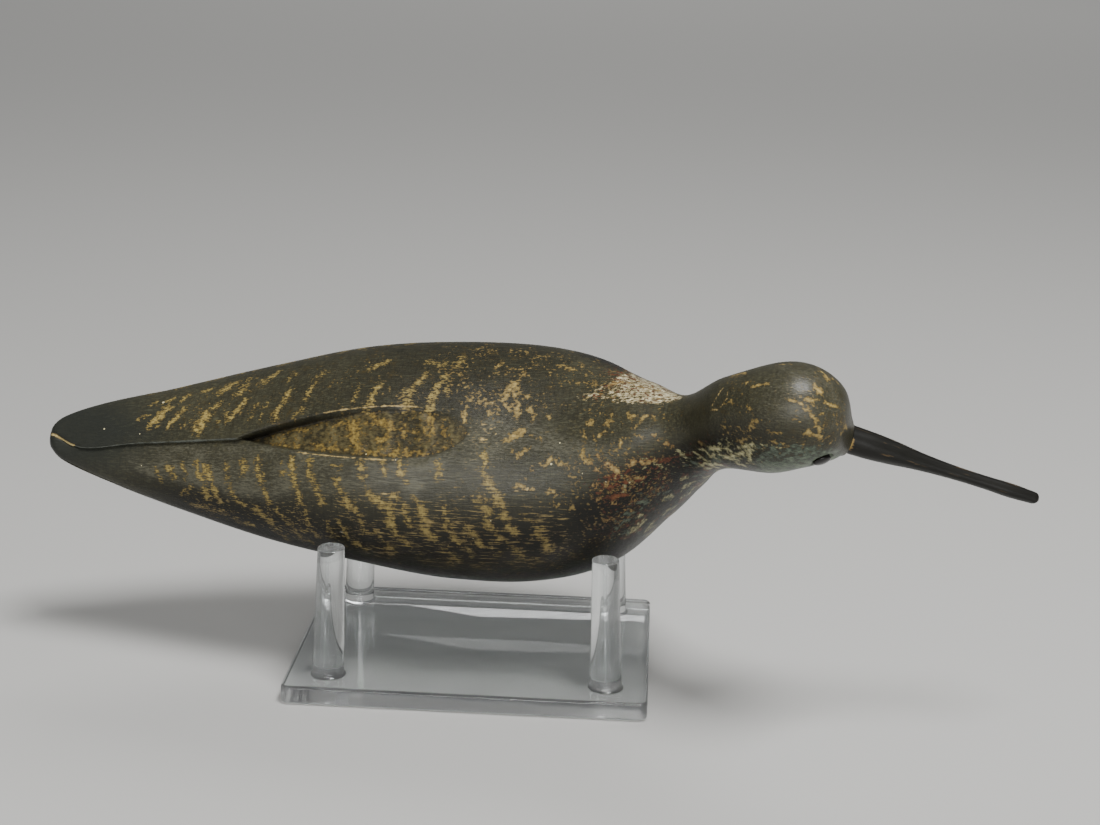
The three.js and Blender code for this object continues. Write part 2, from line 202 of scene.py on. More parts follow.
wing = dict(
    edge=[(3, 92, 0.1), (9, 98, 0.6), (20, 104, 0.9), (34, 106, 1), (50, 102, 1), (58, 96, 1),
          (63.8, 85, 1), (67.6, 77, 1), (71.5, 73, 1), (74.6, 66, 0.8), (75.6, 54, 0.4), (75, 42, 0)],
    depth=0.9, fade=4.5, flankRadius=33.0,
)
bill = dict(
    length=58.8, rootDiameter=8.2, rootHeight=19.2, droop=17.3, swing=3.0,
    taper=[1, 0.93, 0.78, 0.6, 0.49, 0.44, 0.44, 0.47, 0.4],
    squareness=2.6, squareFrom=0.3, worn=0.12, wornSize=2.2, steps=110, tipRings=10, sides=48,
)
percent = bird["carvedLength"] / 100


def turnMatrix(roll, pitch, yaw):
    # roll about X first, then pitch about Y, then yaw about Z, in degrees
    turns = ((yaw, "Z"), (pitch, "Y"), (roll, "X"))
    about = [Matrix.Rotation(np.radians(turn), 3, axis) for turn, axis in turns]
    return np.array(about[0] @ about[1] @ about[2])


billTurn = turnMatrix(0, bill["droop"], -bill["swing"])
billAxis = billTurn @ np.array([1.0, 0, 0])
mouthRadius = (bill["rootDiameter"] / 2 + bird["socketClearance"]) / percent
stations = np.array(bird["stations"] + [(
    100 - mouthRadius * billAxis[2], bill["rootHeight"] + mouthRadius * billAxis[0],
    100 + mouthRadius * billAxis[2], bill["rootHeight"] - mouthRadius * billAxis[0], mouthRadius, 0.5)])
lastStation = len(stations) - 1


def hollowHalf(along):
    # half width of the hollow in percent: a long sine point at the rear, a quarter ellipse in front
    h = hollow
    rear = np.clip((along - h["rear"]) / (h["widest"] - h["rear"]), 0, 1)
    front = np.clip((along - h["widest"]) / (h["front"] - h["widest"]), 0, 1)
    return h["halfWidth"] * np.where(along < h["widest"], np.sin(rear * np.pi / 2) ** h["point"],
                                     np.sqrt(1 - front ** 2))


def hollowMiddle(along):
    # side of the lap's and the hollow's middle line in percent, with a bow near the tail
    h = hollow
    bow = h["lapBow"] * hump(along, h["lapBowPlace"], h["lapBowLength"])
    side = h["side"] * (1 - fade(along, h["straight"], bird["turnStart"]))
    return (side - bow) * fade(along, 0, h["lapBowLength"])


def backCut(along, side, up):
    # depth in mm: the hollow's walls and rising floor, or the step of the lap dying away to the right
    h = hollow
    fromMiddle = (side - hollowMiddle(along)) * percent
    wall = np.clip((hollowHalf(along) * percent - abs(fromMiddle)) / h["wall"], 0, 1)
    deeper = h["rearDepth"] + (1 - h["rearDepth"]) * fade(along, h["rear"], h["lapFront"])
    floor = h["depth"] * deeper * fade(h["front"] - along, 0, h["rise"])
    lap = np.where(fromMiddle < 0, h["lapDepth"] * np.exp(np.minimum(fromMiddle, 0) / h["lapFade"]), 0)
    lap = lap * (1 - fade(along, h["rear"], h["lapFront"])) * fade(along, 0, h["lapBowLength"])
    return np.where(up > 0, np.maximum(wall * floor, lap), 0)


def wingDistance(along, angle):
    # distance in mm to the wing's edge line, plus below it and minus on the wing, and the depth's share
    x, y = along * percent, abs(angle) * wing["flankRadius"]
    nearest = np.full(x.shape, 1e9)
    share = np.zeros(x.shape)
    sign = np.ones(x.shape)
    line = np.array([(p[0] * percent, np.radians(p[1]) * wing["flankRadius"], p[2]) for p in wing["edge"]])
    for (ax, ay, ad), (bx, by, bd) in zip(line[:-1], line[1:]):
        squared = (bx - ax) ** 2 + (by - ay) ** 2
        t = np.clip(((x - ax) * (bx - ax) + (y - ay) * (by - ay)) / squared, 0, 1)
        dx, dy = x - (ax + (bx - ax) * t), y - (ay + (by - ay) * t)
        distance = np.hypot(dx, dy)
        closer = distance < nearest
        nearest = np.where(closer, distance, nearest)
        share = np.where(closer, ad + (bd - ad) * t, share)
        sign = np.where(closer, np.sign((bx - ax) * dy - (by - ay) * dx + 1e-12), sign)
    return nearest * sign, share


def headTurned(points):
    # the head's turn: a smooth bend about an upright line at the neck
    angle = -np.radians(bird["headTurn"]) * fade(points[..., 0], bird["turnStart"] * percent,
                                                 bird["turnEnd"] * percent)
    pivot = bird["turnPivot"] * percent
    x = points[..., 0] - pivot
    return np.stack([pivot + x * np.cos(angle) - points[..., 1] * np.sin(angle),
                     x * np.sin(angle) + points[..., 1] * np.cos(angle), points[..., 2]], -1)


placeTurn = turnMatrix(bird["rollAngle"], bird["pitchAngle"], bird["yawAngle"])
tailPlace = np.array([bird["alongShift"] - bird["carvedLength"] / 2, 0, 0])


def laidDown(points):
    # from the bird's own upright frame in mm to its place across the pegs in metres
    return ((points + tailPlace) @ placeTurn.T + np.array(bird["place"])) * mm


def birdPoints(station, angle, finer=None):
    # a section between the back and belly lines: a sine across, and a cosine up from the widest level,
    # pushed in towards the section's core by the carved depth
    values = smoothCurve(stations, station)
    back, belly = values[..., 0:2] * percent, values[..., 2:4] * percent
    half, widest = values[..., 4] * percent, values[..., 5]
    up = np.cos(angle)
    level = np.where(up > 0, widest + (1 - widest) * up, widest * (1 + up))
    flat = belly + (back - belly) * level[..., None]
    core = belly + (back - belly) * widest[..., None]
    point = np.stack([flat[..., 0], half * np.sin(angle), flat[..., 1]], -1)
    inward = np.stack([core[..., 0], np.zeros(half.shape), core[..., 1]], -1) - point
    radius = np.maximum(np.linalg.norm(inward, axis=-1), 1e-6)
    along = point[..., 0] / percent
    distance, share = wingDistance(along, angle)
    flank = share * wing["depth"] * np.exp(-np.maximum(distance, 0) / wing["fade"])
    depth = backCut(along, point[..., 1] / percent, up) + np.where(distance > 0, flank, 0)
    if finer is not None:
        depth = depth + finer(point, along, angle, station)
    depth = np.minimum(depth, radius / 2)
    return point + inward * (depth / radius)[..., None], point


# Eyes: where each one sits and faces

eye = dict(diameter=5.0, rise=0.8, seat=1.0, station=14.6, angle=91.0, steps=24, sides=48)


def eyePlace(side):
    # the point and the outward direction at the eye, from small steps along and round the head
    step = 0.02
    station = np.array([0, step, -step, 0, 0]) + eye["station"]
    angle = np.array([0, 0, 0, step, -step]) + side * np.radians(eye["angle"])
    middle, ahead, behind, over, under = headTurned(birdPoints(station, angle)[0])
    outward = np.cross(ahead - behind, over - under)
    return middle, outward / np.linalg.norm(outward)


# Small carving and wear that is too fine for the solids, in mm into the wood
wear = dict(
    eyeBowl=1.1, eyeBowlRadius=3.1, eyeBowlEdge=0.7,
    eyeHollow=0.9, eyeHollowRadius=4.2, eyeHollowPlace=(4.6, 0, -0.6),
    rootFlare=0.55, rootFlareStations=0.22,
    toolMarks=0.22, toolMarkSize=13.0, toolMarkSqueeze=0.55,
    ripple=0.1, rippleSize=3.5, rippleSqueeze=0.4,
    rimChip=0.35, rimChipSize=2.6, rimChipSqueeze=0.5, rimChipWidth=0.7,
    gouge=0.55, gougeSize=2.6, gougeBow=0.035, gougeSqueeze=0.34, pits=0.35, pitSize=1.7, pitsWorn=0.6,
    tailChip=0.8, tailChipSide=0.3, tailChipWidth=0.6,
)


def gougeCuts(point, side):
    # crescent cuts across the hollow: noise squeezed along the bird and bowed by the square of the side
    bowed = point[..., 0] + wear["gougeBow"] * side ** 2
    place = np.stack([bowed, wear["gougeSqueeze"] * side, 0 * side], -1)
    return softNoise(place, wear["gougeSize"], 14)


def fineCarving(point, along, angle, station):
    w = wear
    turned = headTurned(point)
    cut = np.zeros(along.shape)
    # a bowl round each eye, and a shallow dip ahead of it
    for side in (-1, 1):
        middle = eyePlace(side)[0]
        distance = np.linalg.norm(turned - middle, axis=-1)
        cut += w["eyeBowl"] * (1 - fade(distance, w["eyeBowlRadius"] - w["eyeBowlEdge"], w["eyeBowlRadius"]))
        away = np.linalg.norm(turned - (middle + np.array(w["eyeHollowPlace"])), axis=-1)
        cut += w["eyeHollow"] * hump(away, 0, w["eyeHollowRadius"])
    # the wood swells in a low collar round the bill's root
    cut -= w["rootFlare"] * hump(station, lastStation, w["rootFlareStations"])
    # flats left by the knife, and a finer ripple
    marks = softNoise(point * [w["toolMarkSqueeze"], 1, 1], w["toolMarkSize"], 11) - 0.5
    ripple = softNoise(point * [w["rippleSqueeze"], 1, 1], w["rippleSize"], 12) - 0.5
    calm = fade(station, 0.3, 1.2) * (1 - fade(station, lastStation - 0.8, lastStation - 0.2))
    cut += (w["toolMarks"] * marks + w["ripple"] * ripple) * calm
    # the worn and chipped rim of the hollow
    back = np.cos(angle) > 0
    side = (point[..., 1] / percent - hollowMiddle(along)) * percent
    half = hollowHalf(along) * percent
    chips = fade(softNoise(point * [w["rimChipSqueeze"], 1, 1], w["rimChipSize"], 13), 0.5, 0.8)
    onHollow = window(along, hollow["rear"] + 3, hollow["front"], 1) * back
    cut += w["rimChip"] * chips * hump(abs(side), half, w["rimChipWidth"]) * onHollow
    # gouge cuts and pits on its floor
    inside = fade(half - abs(side), 0.5, 2.2) * back
    inside *= fade(along, hollow["rear"] + 1, hollow["rear"] + 4) * (1 - fade(along, 49, 54))
    pits = w["pits"] * (softNoise(point, w["pitSize"], 15) - 0.5) * (1 - w["pitsWorn"] * fade(along, 32, 40))
    cut += inside * (w["gouge"] * (gougeCuts(point, side) - 0.5) + pits)
    # the chipped tip of the tail, along the lap
    chipped = hump(side, w["tailChipSide"], w["tailChipWidth"]) * window(along, 0.6, 4.6, 0.5)
    cut += w["tailChip"] * chipped * back
    return cut


def ringStations(count):
    # rows spread evenly by the mean length of the back and belly lines
    dense = np.linspace(0, lastStation, 4000)
    values = smoothCurve(stations, dense)
    steps = sum(np.linalg.norm(np.diff(values[:, i:i + 2], axis=0), axis=1) for i in (0, 2)) / 2
    length = np.concatenate([[0], np.cumsum(np.maximum(steps, 1e-4))])
    return np.interp(np.linspace(0, length[-1], count), length, dense)


def columnAngles(station):
    # columns follow the hollow's two walls and its floor, and the rest share the body
    values = smoothCurve(stations, station)
    half, along = values[:, 4], values[:, 0]
    middle = np.arcsin(np.clip(hollowMiddle(along) / half, -0.5, 0.5))
    opening = np.where(along > hollow["widest"], hollow["halfWidth"], hollowHalf(along))
    spread = np.clip(np.arcsin(np.clip(opening / half, 0, 0.5)), np.radians(4), np.radians(15))
    wall = np.minimum(hollow["wall"] / (half * percent), spread / 2)
    left = np.linspace(-spread, wall - spread, bird["wallColumns"], axis=1)
    floor = np.linspace(wall - spread, spread - wall, bird["floorColumns"], axis=1)[:, 1:-1]
    right = np.linspace(spread - wall, spread, bird["wallColumns"], axis=1)
    rest = np.linspace(spread, 2 * np.pi - spread, bird["sideColumns"] + 2, axis=1)[:, 1:-1]
    return np.concatenate([left, floor, right, rest], axis=1) + middle[:, None]


# Where each layer of paint and wear lies, 0 to 1 at each point of the wood

# The far wing's even rows of bars: mm from bar to bar, how they lean and bend forward down the wing, where
# the rows start and how high they are in mm, how far each next row is set off and the bars are jumbled, in
# bars, and how many draws say how much a bar is rubbed, with the step in them from row to row
feathers = dict(
    pitch=8.0, lean=0.24, bend=0.002, rowStart=3.0, rowHeight=15.0, stagger=0.45, jitter=0.5,
    rubs=64, rubStep=17,
)
# Brush strokes and worn places, each given on the photo: x and y of its two ends and its width, in
# pixels of the photo's frame, and how bold it is
strokes = dict(
    # feather bars on the far and the near wing
    bars=[
        (139, 419, 149, 415, 3, 0.6), (150, 427, 167, 409, 6, 0.95), (169, 427, 182, 410, 5, 0.9),
        (151, 405, 158, 401, 2.5, 0.6), (165, 403, 175, 398, 4, 0.7), (181, 402, 190, 394, 4, 0.7),
        (183, 424, 190, 420, 3, 0.45), (200, 427, 206, 415, 9, 1), (208, 409, 219, 404, 4, 0.8),
        (204, 392, 213, 388, 3.5, 0.7), (220, 393, 235, 383, 6.5, 0.85), (219, 423, 227, 413, 4, 0.65),
        (229, 420, 234, 415, 5.5, 0.75), (225, 408, 229, 404, 3, 0.5), (237, 411, 245, 400, 5, 0.85),
        (238, 393, 252, 378, 6, 0.75), (250, 419, 256, 405, 3.5, 0.45), (261, 419, 263, 413, 3.5, 0.4),
        (262, 383, 277, 373, 6, 0.7), (264, 405, 269, 402, 4, 0.5), (274, 418, 290, 391, 5, 0.75),
        (290, 380, 295, 373, 5, 0.5), (294, 417, 302, 408, 5, 0.6), (305, 400, 314, 385, 4.5, 0.68),
        (317, 377, 325, 371, 5.5, 0.62), (355, 402, 360, 384, 3, 0.5), (366, 407, 380, 385, 6, 0.8),
        (370, 369, 390, 361, 5, 0.62), (405, 407, 412, 388, 7, 0.9), (412, 388, 425, 375, 5, 0.75),
        (402, 398, 406, 390, 5, 0.5), (429, 410, 436, 391, 7, 0.95), (428, 363, 446, 364, 6, 0.6),
        (436, 385, 447, 376, 6, 0.75), (446, 392, 448, 380, 5, 0.6), (453, 371, 463, 357, 6, 0.6),
        (155, 468, 161, 481, 4, 0.6), (169, 465, 173, 477, 5, 0.7), (183, 464, 187, 478, 4, 0.55),
        (196, 463, 204, 485, 5, 0.8), (206, 468, 215, 488, 5.5, 0.85), (204, 489, 208, 498, 7, 0.85),
        (214, 490, 221, 503, 5.5, 0.75), (184, 494, 191, 487, 4, 0.55), (188, 503, 196, 506, 4, 0.5),
        (196, 504, 232, 512, 3, 0.45), (224, 463, 231, 488, 3.5, 0.5), (231, 490, 242, 505, 4.5, 0.8),
        (243, 462, 245, 474, 6, 0.75), (257, 462, 262, 484, 6, 0.8), (263, 485, 269, 502, 5.5, 0.72),
        (256, 510, 271, 521, 7, 0.85), (271, 522, 287, 539, 5, 0.65), (239, 521, 253, 526, 5, 0.6),
        (277, 511, 293, 528, 4.5, 0.75), (294, 532, 312, 543, 4, 0.6), (281, 462, 283, 474, 5, 0.5),
        (292, 460, 294, 478, 7, 0.88), (294, 479, 302, 503, 6, 0.78), (305, 511, 307, 527, 4, 0.7),
        (308, 528, 317, 535, 5.5, 0.72), (308, 462, 310, 476, 6, 0.7), (312, 477, 322, 505, 4.5, 0.7),
        (327, 523, 333, 535, 5, 0.58), (331, 464, 343, 466, 4, 0.6), (336, 480, 340, 496, 5, 0.8),
        (340, 497, 350, 505, 6.5, 0.8), (339, 520, 351, 540, 5, 0.7), (353, 504, 359, 518, 4.5, 0.66),
        (361, 461, 360, 473, 6.5, 0.82), (362, 473, 366, 479, 4, 0.75), (361, 522, 364, 535, 3, 0.42),
        (384, 461, 385, 471, 6, 0.8), (370, 494, 382, 505, 8, 0.88), (356, 543, 368, 550, 5, 0.52),
        (376, 530, 388, 547, 4.5, 0.52), (394, 494, 397, 503, 6, 0.76), (388, 508, 392, 526, 8, 0.88),
        (392, 527, 400, 537, 6, 0.76), (401, 537, 410, 547, 7, 0.72), (390, 548, 399, 555, 4.5, 0.5),
        (401, 460, 403, 472, 7.5, 0.9), (403, 472, 406, 481, 3.5, 0.5), (406, 505, 410, 527, 5.5, 0.7),
        (412, 498, 419, 507, 5.5, 0.72), (421, 507, 426, 523, 9, 0.9), (424, 524, 434, 539, 7.5, 0.82),
        (438, 462, 438, 478, 5, 0.68), (443, 510, 450, 523, 5.5, 0.68), (446, 525, 460, 546, 8, 0.78),
        (446, 550, 457, 561, 7, 0.52), (467, 528, 482, 546, 7.5, 0.72), (468, 547, 472, 555, 6, 0.52),
        (484, 456, 485, 463, 6, 0.86), (483, 472, 488, 483, 5.5, 0.86), (487, 482, 498, 500, 8, 0.98),
        (498, 500, 505, 520, 7, 0.76), (505, 520, 517, 535, 7, 0.72), (478, 498, 488, 513, 8, 0.68),
        (485, 518, 500, 540, 8, 0.74), (487, 547, 498, 555, 7, 0.56), (510, 546, 523, 557, 7, 0.56),
        (524, 514, 531, 521, 5, 0.52), (533, 526, 552, 549, 7.5, 0.74), (518, 558, 540, 561, 6, 0.42),
        (187.5, 502.5, 205, 507.5, 4, 0.62), (205, 507.5, 230, 516, 3.2, 0.52),
        (237.5, 521, 252.5, 526, 3.6, 0.68), (266, 520, 287, 539, 4, 0.62),
        (290, 524, 305, 541, 4, 0.66), (295, 530, 312, 532, 2.6, 0.6), (305, 517, 317, 535, 4, 0.72),
        (340, 520, 347, 537, 3.6, 0.7), (347, 537, 370, 550, 4, 0.6), (355, 505, 362, 527, 4, 0.74),
        (362, 527, 380, 537, 3.6, 0.66),
    ],
    # tan flecks on the back, neck and head
    flecks=[
        (497, 367, 503, 362, 5, 0.75), (521, 367, 525, 375, 4, 0.6), (503, 400, 514, 384, 7.2, 0.85),
        (514, 384, 520, 395, 5, 0.75), (503, 403, 509, 407, 5, 0.75), (514, 397, 519, 415, 6, 0.82),
        (525, 397, 531, 395, 5, 0.7), (530, 407, 535, 416, 7, 0.8), (531, 405, 541, 404, 3, 0.5),
        (546, 404, 547, 407, 4, 0.5), (549, 415, 550, 417, 4, 0.7), (487, 402, 497, 404, 3.5, 0.65),
        (490, 415, 498, 411, 5, 0.78), (474, 406, 484, 401, 4, 0.68), (464, 398, 471, 400, 3.5, 0.7),
        (471, 400, 479, 394, 3, 0.6), (462, 403, 468, 410, 3, 0.6), (466, 413, 465, 423, 4.5, 0.85),
        (485, 384, 490, 378, 5, 0.42), (512, 436, 522, 432, 7, 0.86), (504, 441, 511, 440, 3.5, 0.7),
        (533, 436, 543, 439, 4, 0.45), (506, 448, 517, 455, 3, 0.6), (519, 455, 528, 449, 4, 0.66),
        (475, 349, 488, 347, 4.5, 0.62), (512, 350, 528, 351, 3, 0.7), (538, 357, 546, 357, 4, 0.62),
        (562, 366, 575, 370, 4, 0.76), (578, 363, 583, 367, 4, 0.5), (587, 375, 592, 373, 4, 0.62),
        (589, 425, 593, 421, 5, 0.8), (607, 423, 613, 417, 4.5, 0.72), (627, 415, 634, 416, 4, 0.7),
        (638, 424, 645, 417, 4, 0.68), (653, 419, 656, 419, 4, 0.6), (651, 432, 655, 434, 4, 0.66),
        (584, 433, 587, 439, 5, 0.8), (599, 437, 605, 433, 4.5, 0.8), (621, 439, 621, 444, 4, 0.72),
        (637, 436, 642, 438, 4, 0.55), (583, 450, 585, 460, 4.5, 0.75), (585, 461, 591, 462, 4.5, 0.75),
        (545, 462, 551, 457, 5, 0.84), (558, 462, 567, 468, 5, 0.72), (532, 470, 537, 470, 4, 0.55),
        (568, 467, 582, 467, 2.5, 0.6), (564, 475, 582, 478, 2.5, 0.6), (598, 455, 604, 459, 3, 0.65),
        (602, 446, 600, 453, 3, 0.55), (576, 461, 579, 463, 4, 0.6), (745, 384, 753, 382, 4, 0.62),
        (754, 386, 768, 384, 3.5, 0.6), (748, 407, 751, 413, 4, 0.6), (731, 399, 733, 401, 4, 0.5),
        (821, 372, 828, 380, 4.5, 0.9), (831, 378, 838, 384, 3, 0.6), (806, 398, 815, 402, 5, 0.95),
        (790, 400, 802, 404, 3, 0.75), (799, 408, 812, 413, 2.5, 0.6), (826, 402, 837, 407, 4, 0.78),
        (821, 413, 824, 414, 4, 0.6), (811, 416, 818, 420, 4, 0.66), (735, 375, 746, 373, 4, 0.7),
        (777, 365, 791, 364, 3, 0.6), (722, 429, 731, 427, 3.5, 0.7), (731, 427, 733, 433, 2.5, 0.6),
        (724, 434, 729, 432, 2, 0.5), (738, 427, 743, 431, 3, 0.75), (743, 431, 750, 433, 3, 0.7),
        (752, 427, 755, 421, 4.5, 0.9), (751, 433, 752, 428, 2.5, 0.6), (768, 430, 772, 434, 3, 0.8),
        (772, 433, 780, 432, 3, 0.8), (762, 419, 770, 421, 2, 0.45), (793, 419, 801, 423, 2.5, 0.5),
        (740, 441, 750, 436, 3.5, 0.7), (698, 440, 703, 445, 3.5, 0.7), (706, 436, 708, 434, 2.5, 0.5),
        (813, 417, 816, 419, 4, 0.8), (815, 424, 817, 427, 3, 0.85), (818, 426, 820, 431, 3, 0.8),
        (806, 432, 815, 434, 4, 0.95), (815, 435, 821, 437, 4, 0.95), (845, 426, 847, 429, 3.5, 0.9),
        (830, 443, 835, 438, 3, 0.5), (835, 421, 838, 424, 3, 0.5), (828, 425, 830, 424, 3, 0.5),
        (841, 433, 844, 432, 2.5, 0.6), (816, 385, 819, 390, 5, 0.9), (737, 440, 745, 445, 3, 0.7),
        (780, 443, 790, 447, 3, 0.8), (801, 447, 806, 442, 2.5, 0.7), (770, 442, 780, 443, 3, 0.7),
        (515, 486, 536, 489, 3.2, 0.72), (519, 481, 528, 480, 2.6, 0.7), (549, 491, 555, 492, 5, 0.85),
        (556, 504, 574, 509, 4, 0.62), (478, 497, 488, 500, 2.6, 0.6), (458, 495, 470, 497, 2.6, 0.6),
    ],
    # breast, throat and cheek
    cream=[
        (694, 452, 701, 458, 3, 0.85), (700, 450, 706, 450, 2.5, 0.8), (706, 450, 710, 456, 2.5, 0.85),
        (702, 459, 709, 461, 3, 0.85), (711, 449, 720, 449, 5, 0.95), (716, 449, 722, 457, 3, 0.8),
        (719, 443, 727, 448, 3, 0.95), (727, 448, 734, 456, 4, 1), (728, 457, 737, 459, 3.5, 0.95),
        (731, 455, 738, 463, 6, 1), (736, 463, 745, 466, 5, 1), (735, 456, 744, 453, 4, 0.9),
        (744, 452, 751, 450, 4, 0.9), (748, 452, 751, 462, 5, 0.95), (746, 463, 757, 465, 4, 0.85),
        (740, 448, 752, 444, 4, 0.85), (752, 446, 760, 449, 3, 0.7), (727, 439, 730, 446, 3, 0.6),
        (762, 444, 772, 447, 3, 0.7), (772, 447, 781, 448, 2.5, 0.8), (752, 459, 762, 462, 4, 0.65),
        (760, 463, 772, 466, 3, 0.6), (678, 452, 686, 457, 3.5, 0.8), (712, 463, 716, 462, 2.5, 0.5),
    ],
    redEarth=[
        (605, 489, 626, 484, 3.5, 0.95), (626, 484, 645, 478, 3.2, 0.9),
        (610, 498, 624, 495, 4.5, 0.95), (623, 488, 635, 486, 3, 0.8), (630, 502, 647, 499, 3.5, 0.8),
        (606, 478, 620, 476, 5, 0.85), (620, 476, 630, 470, 3, 0.7), (662, 462, 669, 458, 3.5, 0.8),
        (672, 458, 680, 455, 3.2, 0.7), (651, 470, 656, 467, 3, 0.7), (688, 455, 693, 453, 3, 0.6),
        (647, 495, 650, 491, 2.5, 0.6), (652, 461, 660, 457, 3, 0.6), (596, 494, 603, 492, 3, 0.6),
        (698, 464, 704, 466, 2.5, 0.4), (720, 458, 724, 460, 2.5, 0.5), (616, 512, 622, 514, 2.5, 0.4),
        (640, 485, 650, 482, 2.5, 0.5),
    ],
    breastTan=[
        (607, 466, 617, 472, 5, 0.95), (615, 474, 623, 472, 4, 0.85), (628, 466, 637, 463, 5, 0.95),
        (600, 497, 605, 496, 4, 0.75), (641, 459, 645, 463, 3.5, 0.8), (645, 463, 650, 462, 4, 0.85),
        (653, 461, 658, 461, 3, 0.85), (661, 459, 664, 457, 3, 0.75), (623, 508, 631, 512, 4.5, 0.75),
        (611, 503, 616, 504, 3, 0.7), (630, 500, 640, 501, 3, 0.75), (650, 485, 659, 489, 3, 0.65),
        (663, 476, 672, 481, 3, 0.65), (635, 477, 643, 478, 3.5, 0.8), (598, 455, 602, 457, 3, 0.7),
        (590, 462, 592, 463, 3, 0.6), (596, 469, 600, 471, 2.5, 0.6), (592, 485, 600, 483, 2.5, 0.65),
        (590, 491, 597, 488, 2.5, 0.65), (667, 444, 672, 448, 3.5, 0.7), (622, 454, 628, 451, 2.5, 0.6),
        (640, 476, 652, 474, 2.5, 0.6), (605, 486, 616, 484, 2.5, 0.6), (655, 436, 659, 440, 3, 0.55),
        (620, 516, 624, 520, 3, 0.5),
    ],
    paleGreen=[
        (662, 493, 671, 490, 2.5, 0.8), (683, 485, 688, 483, 2.5, 0.75), (693, 477, 702, 475, 3, 0.8),
        (672, 507, 681, 502, 2.5, 0.7), (650, 523, 655, 522, 2.2, 0.7), (637, 530, 645, 535, 3, 0.7),
        (623, 521, 630, 520, 3, 0.75), (622, 532, 628, 533, 3, 0.75), (640, 501, 646, 504, 4, 0.75),
        (628, 547, 633, 545, 3, 0.7), (683, 498, 688, 496, 2.2, 0.6), (690, 462, 695, 464, 3, 0.7),
        (626, 511, 632, 514, 4, 0.7), (614, 524, 618, 528, 2.5, 0.6), (606, 541, 612, 539, 2.5, 0.5),
        (655, 495, 660, 493, 2.5, 0.6), (697, 468, 702, 467, 2.5, 0.5), (660, 512, 664, 510, 2.2, 0.5),
    ],
    # scratches down to the wood, and the almond line on the neck
    bareWood=[
        (481, 425, 489, 424, 2, 0.6), (489, 429, 495, 428, 2, 0.7), (478, 439, 487, 439, 2, 0.7),
        (481, 443, 491, 443, 1.6, 0.5), (485, 447, 496, 448, 1.6, 0.5), (494, 432, 495, 433, 2.5, 0.9),
        (510, 488, 527, 489, 2.2, 0.75), (515, 491, 528, 491, 1.8, 0.6), (723, 388, 717, 396, 1.8, 0.7),
        (717, 396, 711, 410, 1.8, 0.7), (711, 411, 718, 410, 2.5, 0.7), (727, 391, 728, 398, 1.8, 0.7),
        (728, 398, 721, 407, 1.8, 0.65), (582, 398, 589, 398, 2.5, 0.8), (540, 432, 556, 431, 1.6, 0.5),
        (590, 404, 602, 403, 1.6, 0.5), (380, 494, 400, 494, 2, 0.7), (368, 490, 376, 490, 2, 0.7),
        (354, 490, 359, 490, 2, 0.7),
    ],
    # bands left in the hollow
    ochre=[
        (354, 424, 358, 447, 9, 0.9), (360, 424, 372, 423, 6, 0.8), (372, 414, 391, 430, 7, 0.9),
        (376, 441, 391, 436, 6, 0.9), (403, 421.5, 405, 437, 5, 0.7), (412, 432, 433, 432, 5, 0.7),
        (431, 414, 431, 430, 6, 0.8), (442, 424, 446, 446, 5, 0.6), (368, 452, 378, 457, 6, 0.9),
        (391, 458, 399, 448, 6, 0.85), (406, 452, 414, 459, 6, 0.85), (417, 453, 422, 459, 5, 0.8),
        (334, 427, 341, 424, 5, 0.7), (284, 446, 302, 445, 5, 0.7), (318, 446, 334, 447, 7, 0.8),
        (292, 431, 312, 430, 6, 0.55), (344, 450, 350, 447, 4, 0.7), (322, 422, 327, 420, 4, 0.6),
    ],
)
# The grid on which the listed points are found, the grain and the limit of a stroke's ragged edge in mm, and
# how softly a stroke ends, as a share of its width
strokeShape = dict(gridRows=700, gridColumns=720, raggedSize=2.0, mostRagged=0.9, softness=0.72)


def seenSkin():
    # a fine grid over the carved skin where it faces the camera: station, degrees from the back line, and
    # pixel of the photo, which is the frame's middle plus the focal length times the offset over the depth
    s = strokeShape
    station, degrees = np.broadcast_arrays(ringStations(s["gridRows"])[:, None],
                                           np.linspace(-180, 180, s["gridColumns"])[None])
    point = laidDown(headTurned(birdPoints(station, np.radians(degrees), fineCarving)[0]))
    ray = point - np.array(view["place"]) * mm
    outward = np.cross(np.gradient(point, axis=0), np.gradient(point, axis=1))
    facing = np.sum(outward * ray, -1) < 0
    across, above, forward = viewAxes()
    depth = ray @ forward
    pixel = np.stack([view["frameWidth"] / 2 + view["focal"] * (ray @ across) / depth,
                      view["frameHeight"] / 2 - view["focal"] * (ray @ above) / depth], -1)
    return station[facing], degrees[facing], pixel[facing]


print("placing the brush strokes")
skinStation, skinDegrees, skinPixel = seenSkin()


def onSkin(x, y):
    # the station and degrees of the skin seen at a pixel, to a hundredth of a station and a whole degree
    nearest = np.sum((skinPixel - [x, y]) ** 2, -1).argmin()
    return round(float(skinStation[nearest]), 2), round(float(skinDegrees[nearest]))


def strokeField(name, points, mirror=0.0):
    # the boldest stroke at each point: each fades as a soft hump with the distance from its line, which noise
    # bends by up to half the stroke's width. mirror repeats them on the other side at that share of boldness
    s = strokeShape
    field = np.zeros(points.shape[:-1])
    ragged = np.stack([softNoise(points, s["raggedSize"], seed) for seed in (41, 42, 43)], -1) * 2 - 1
    for fromX, fromY, toX, toY, wide, bold in strokes[name]:
        station, degrees = np.transpose([onSkin(fromX, fromY), onSkin(toX, toY)])
        width = round(wide / view["pixelsPerMm"], 1)
        for side, share in ((1, 1.0), (-1, mirror)):
            if share == 0:
                continue
            first, last = birdPoints(station, side * np.radians(degrees))[1]
            line = last - first
            reach = points - first + ragged * min(0.5 * width, s["mostRagged"])
            along = np.clip(reach @ line / max(line @ line, 1e-6), 0, 1)
            away = np.linalg.norm(reach - along[..., None] * line, axis=-1)
            field = np.maximum(field, share * bold * hump(away, 0, s["softness"] * width))
    return field
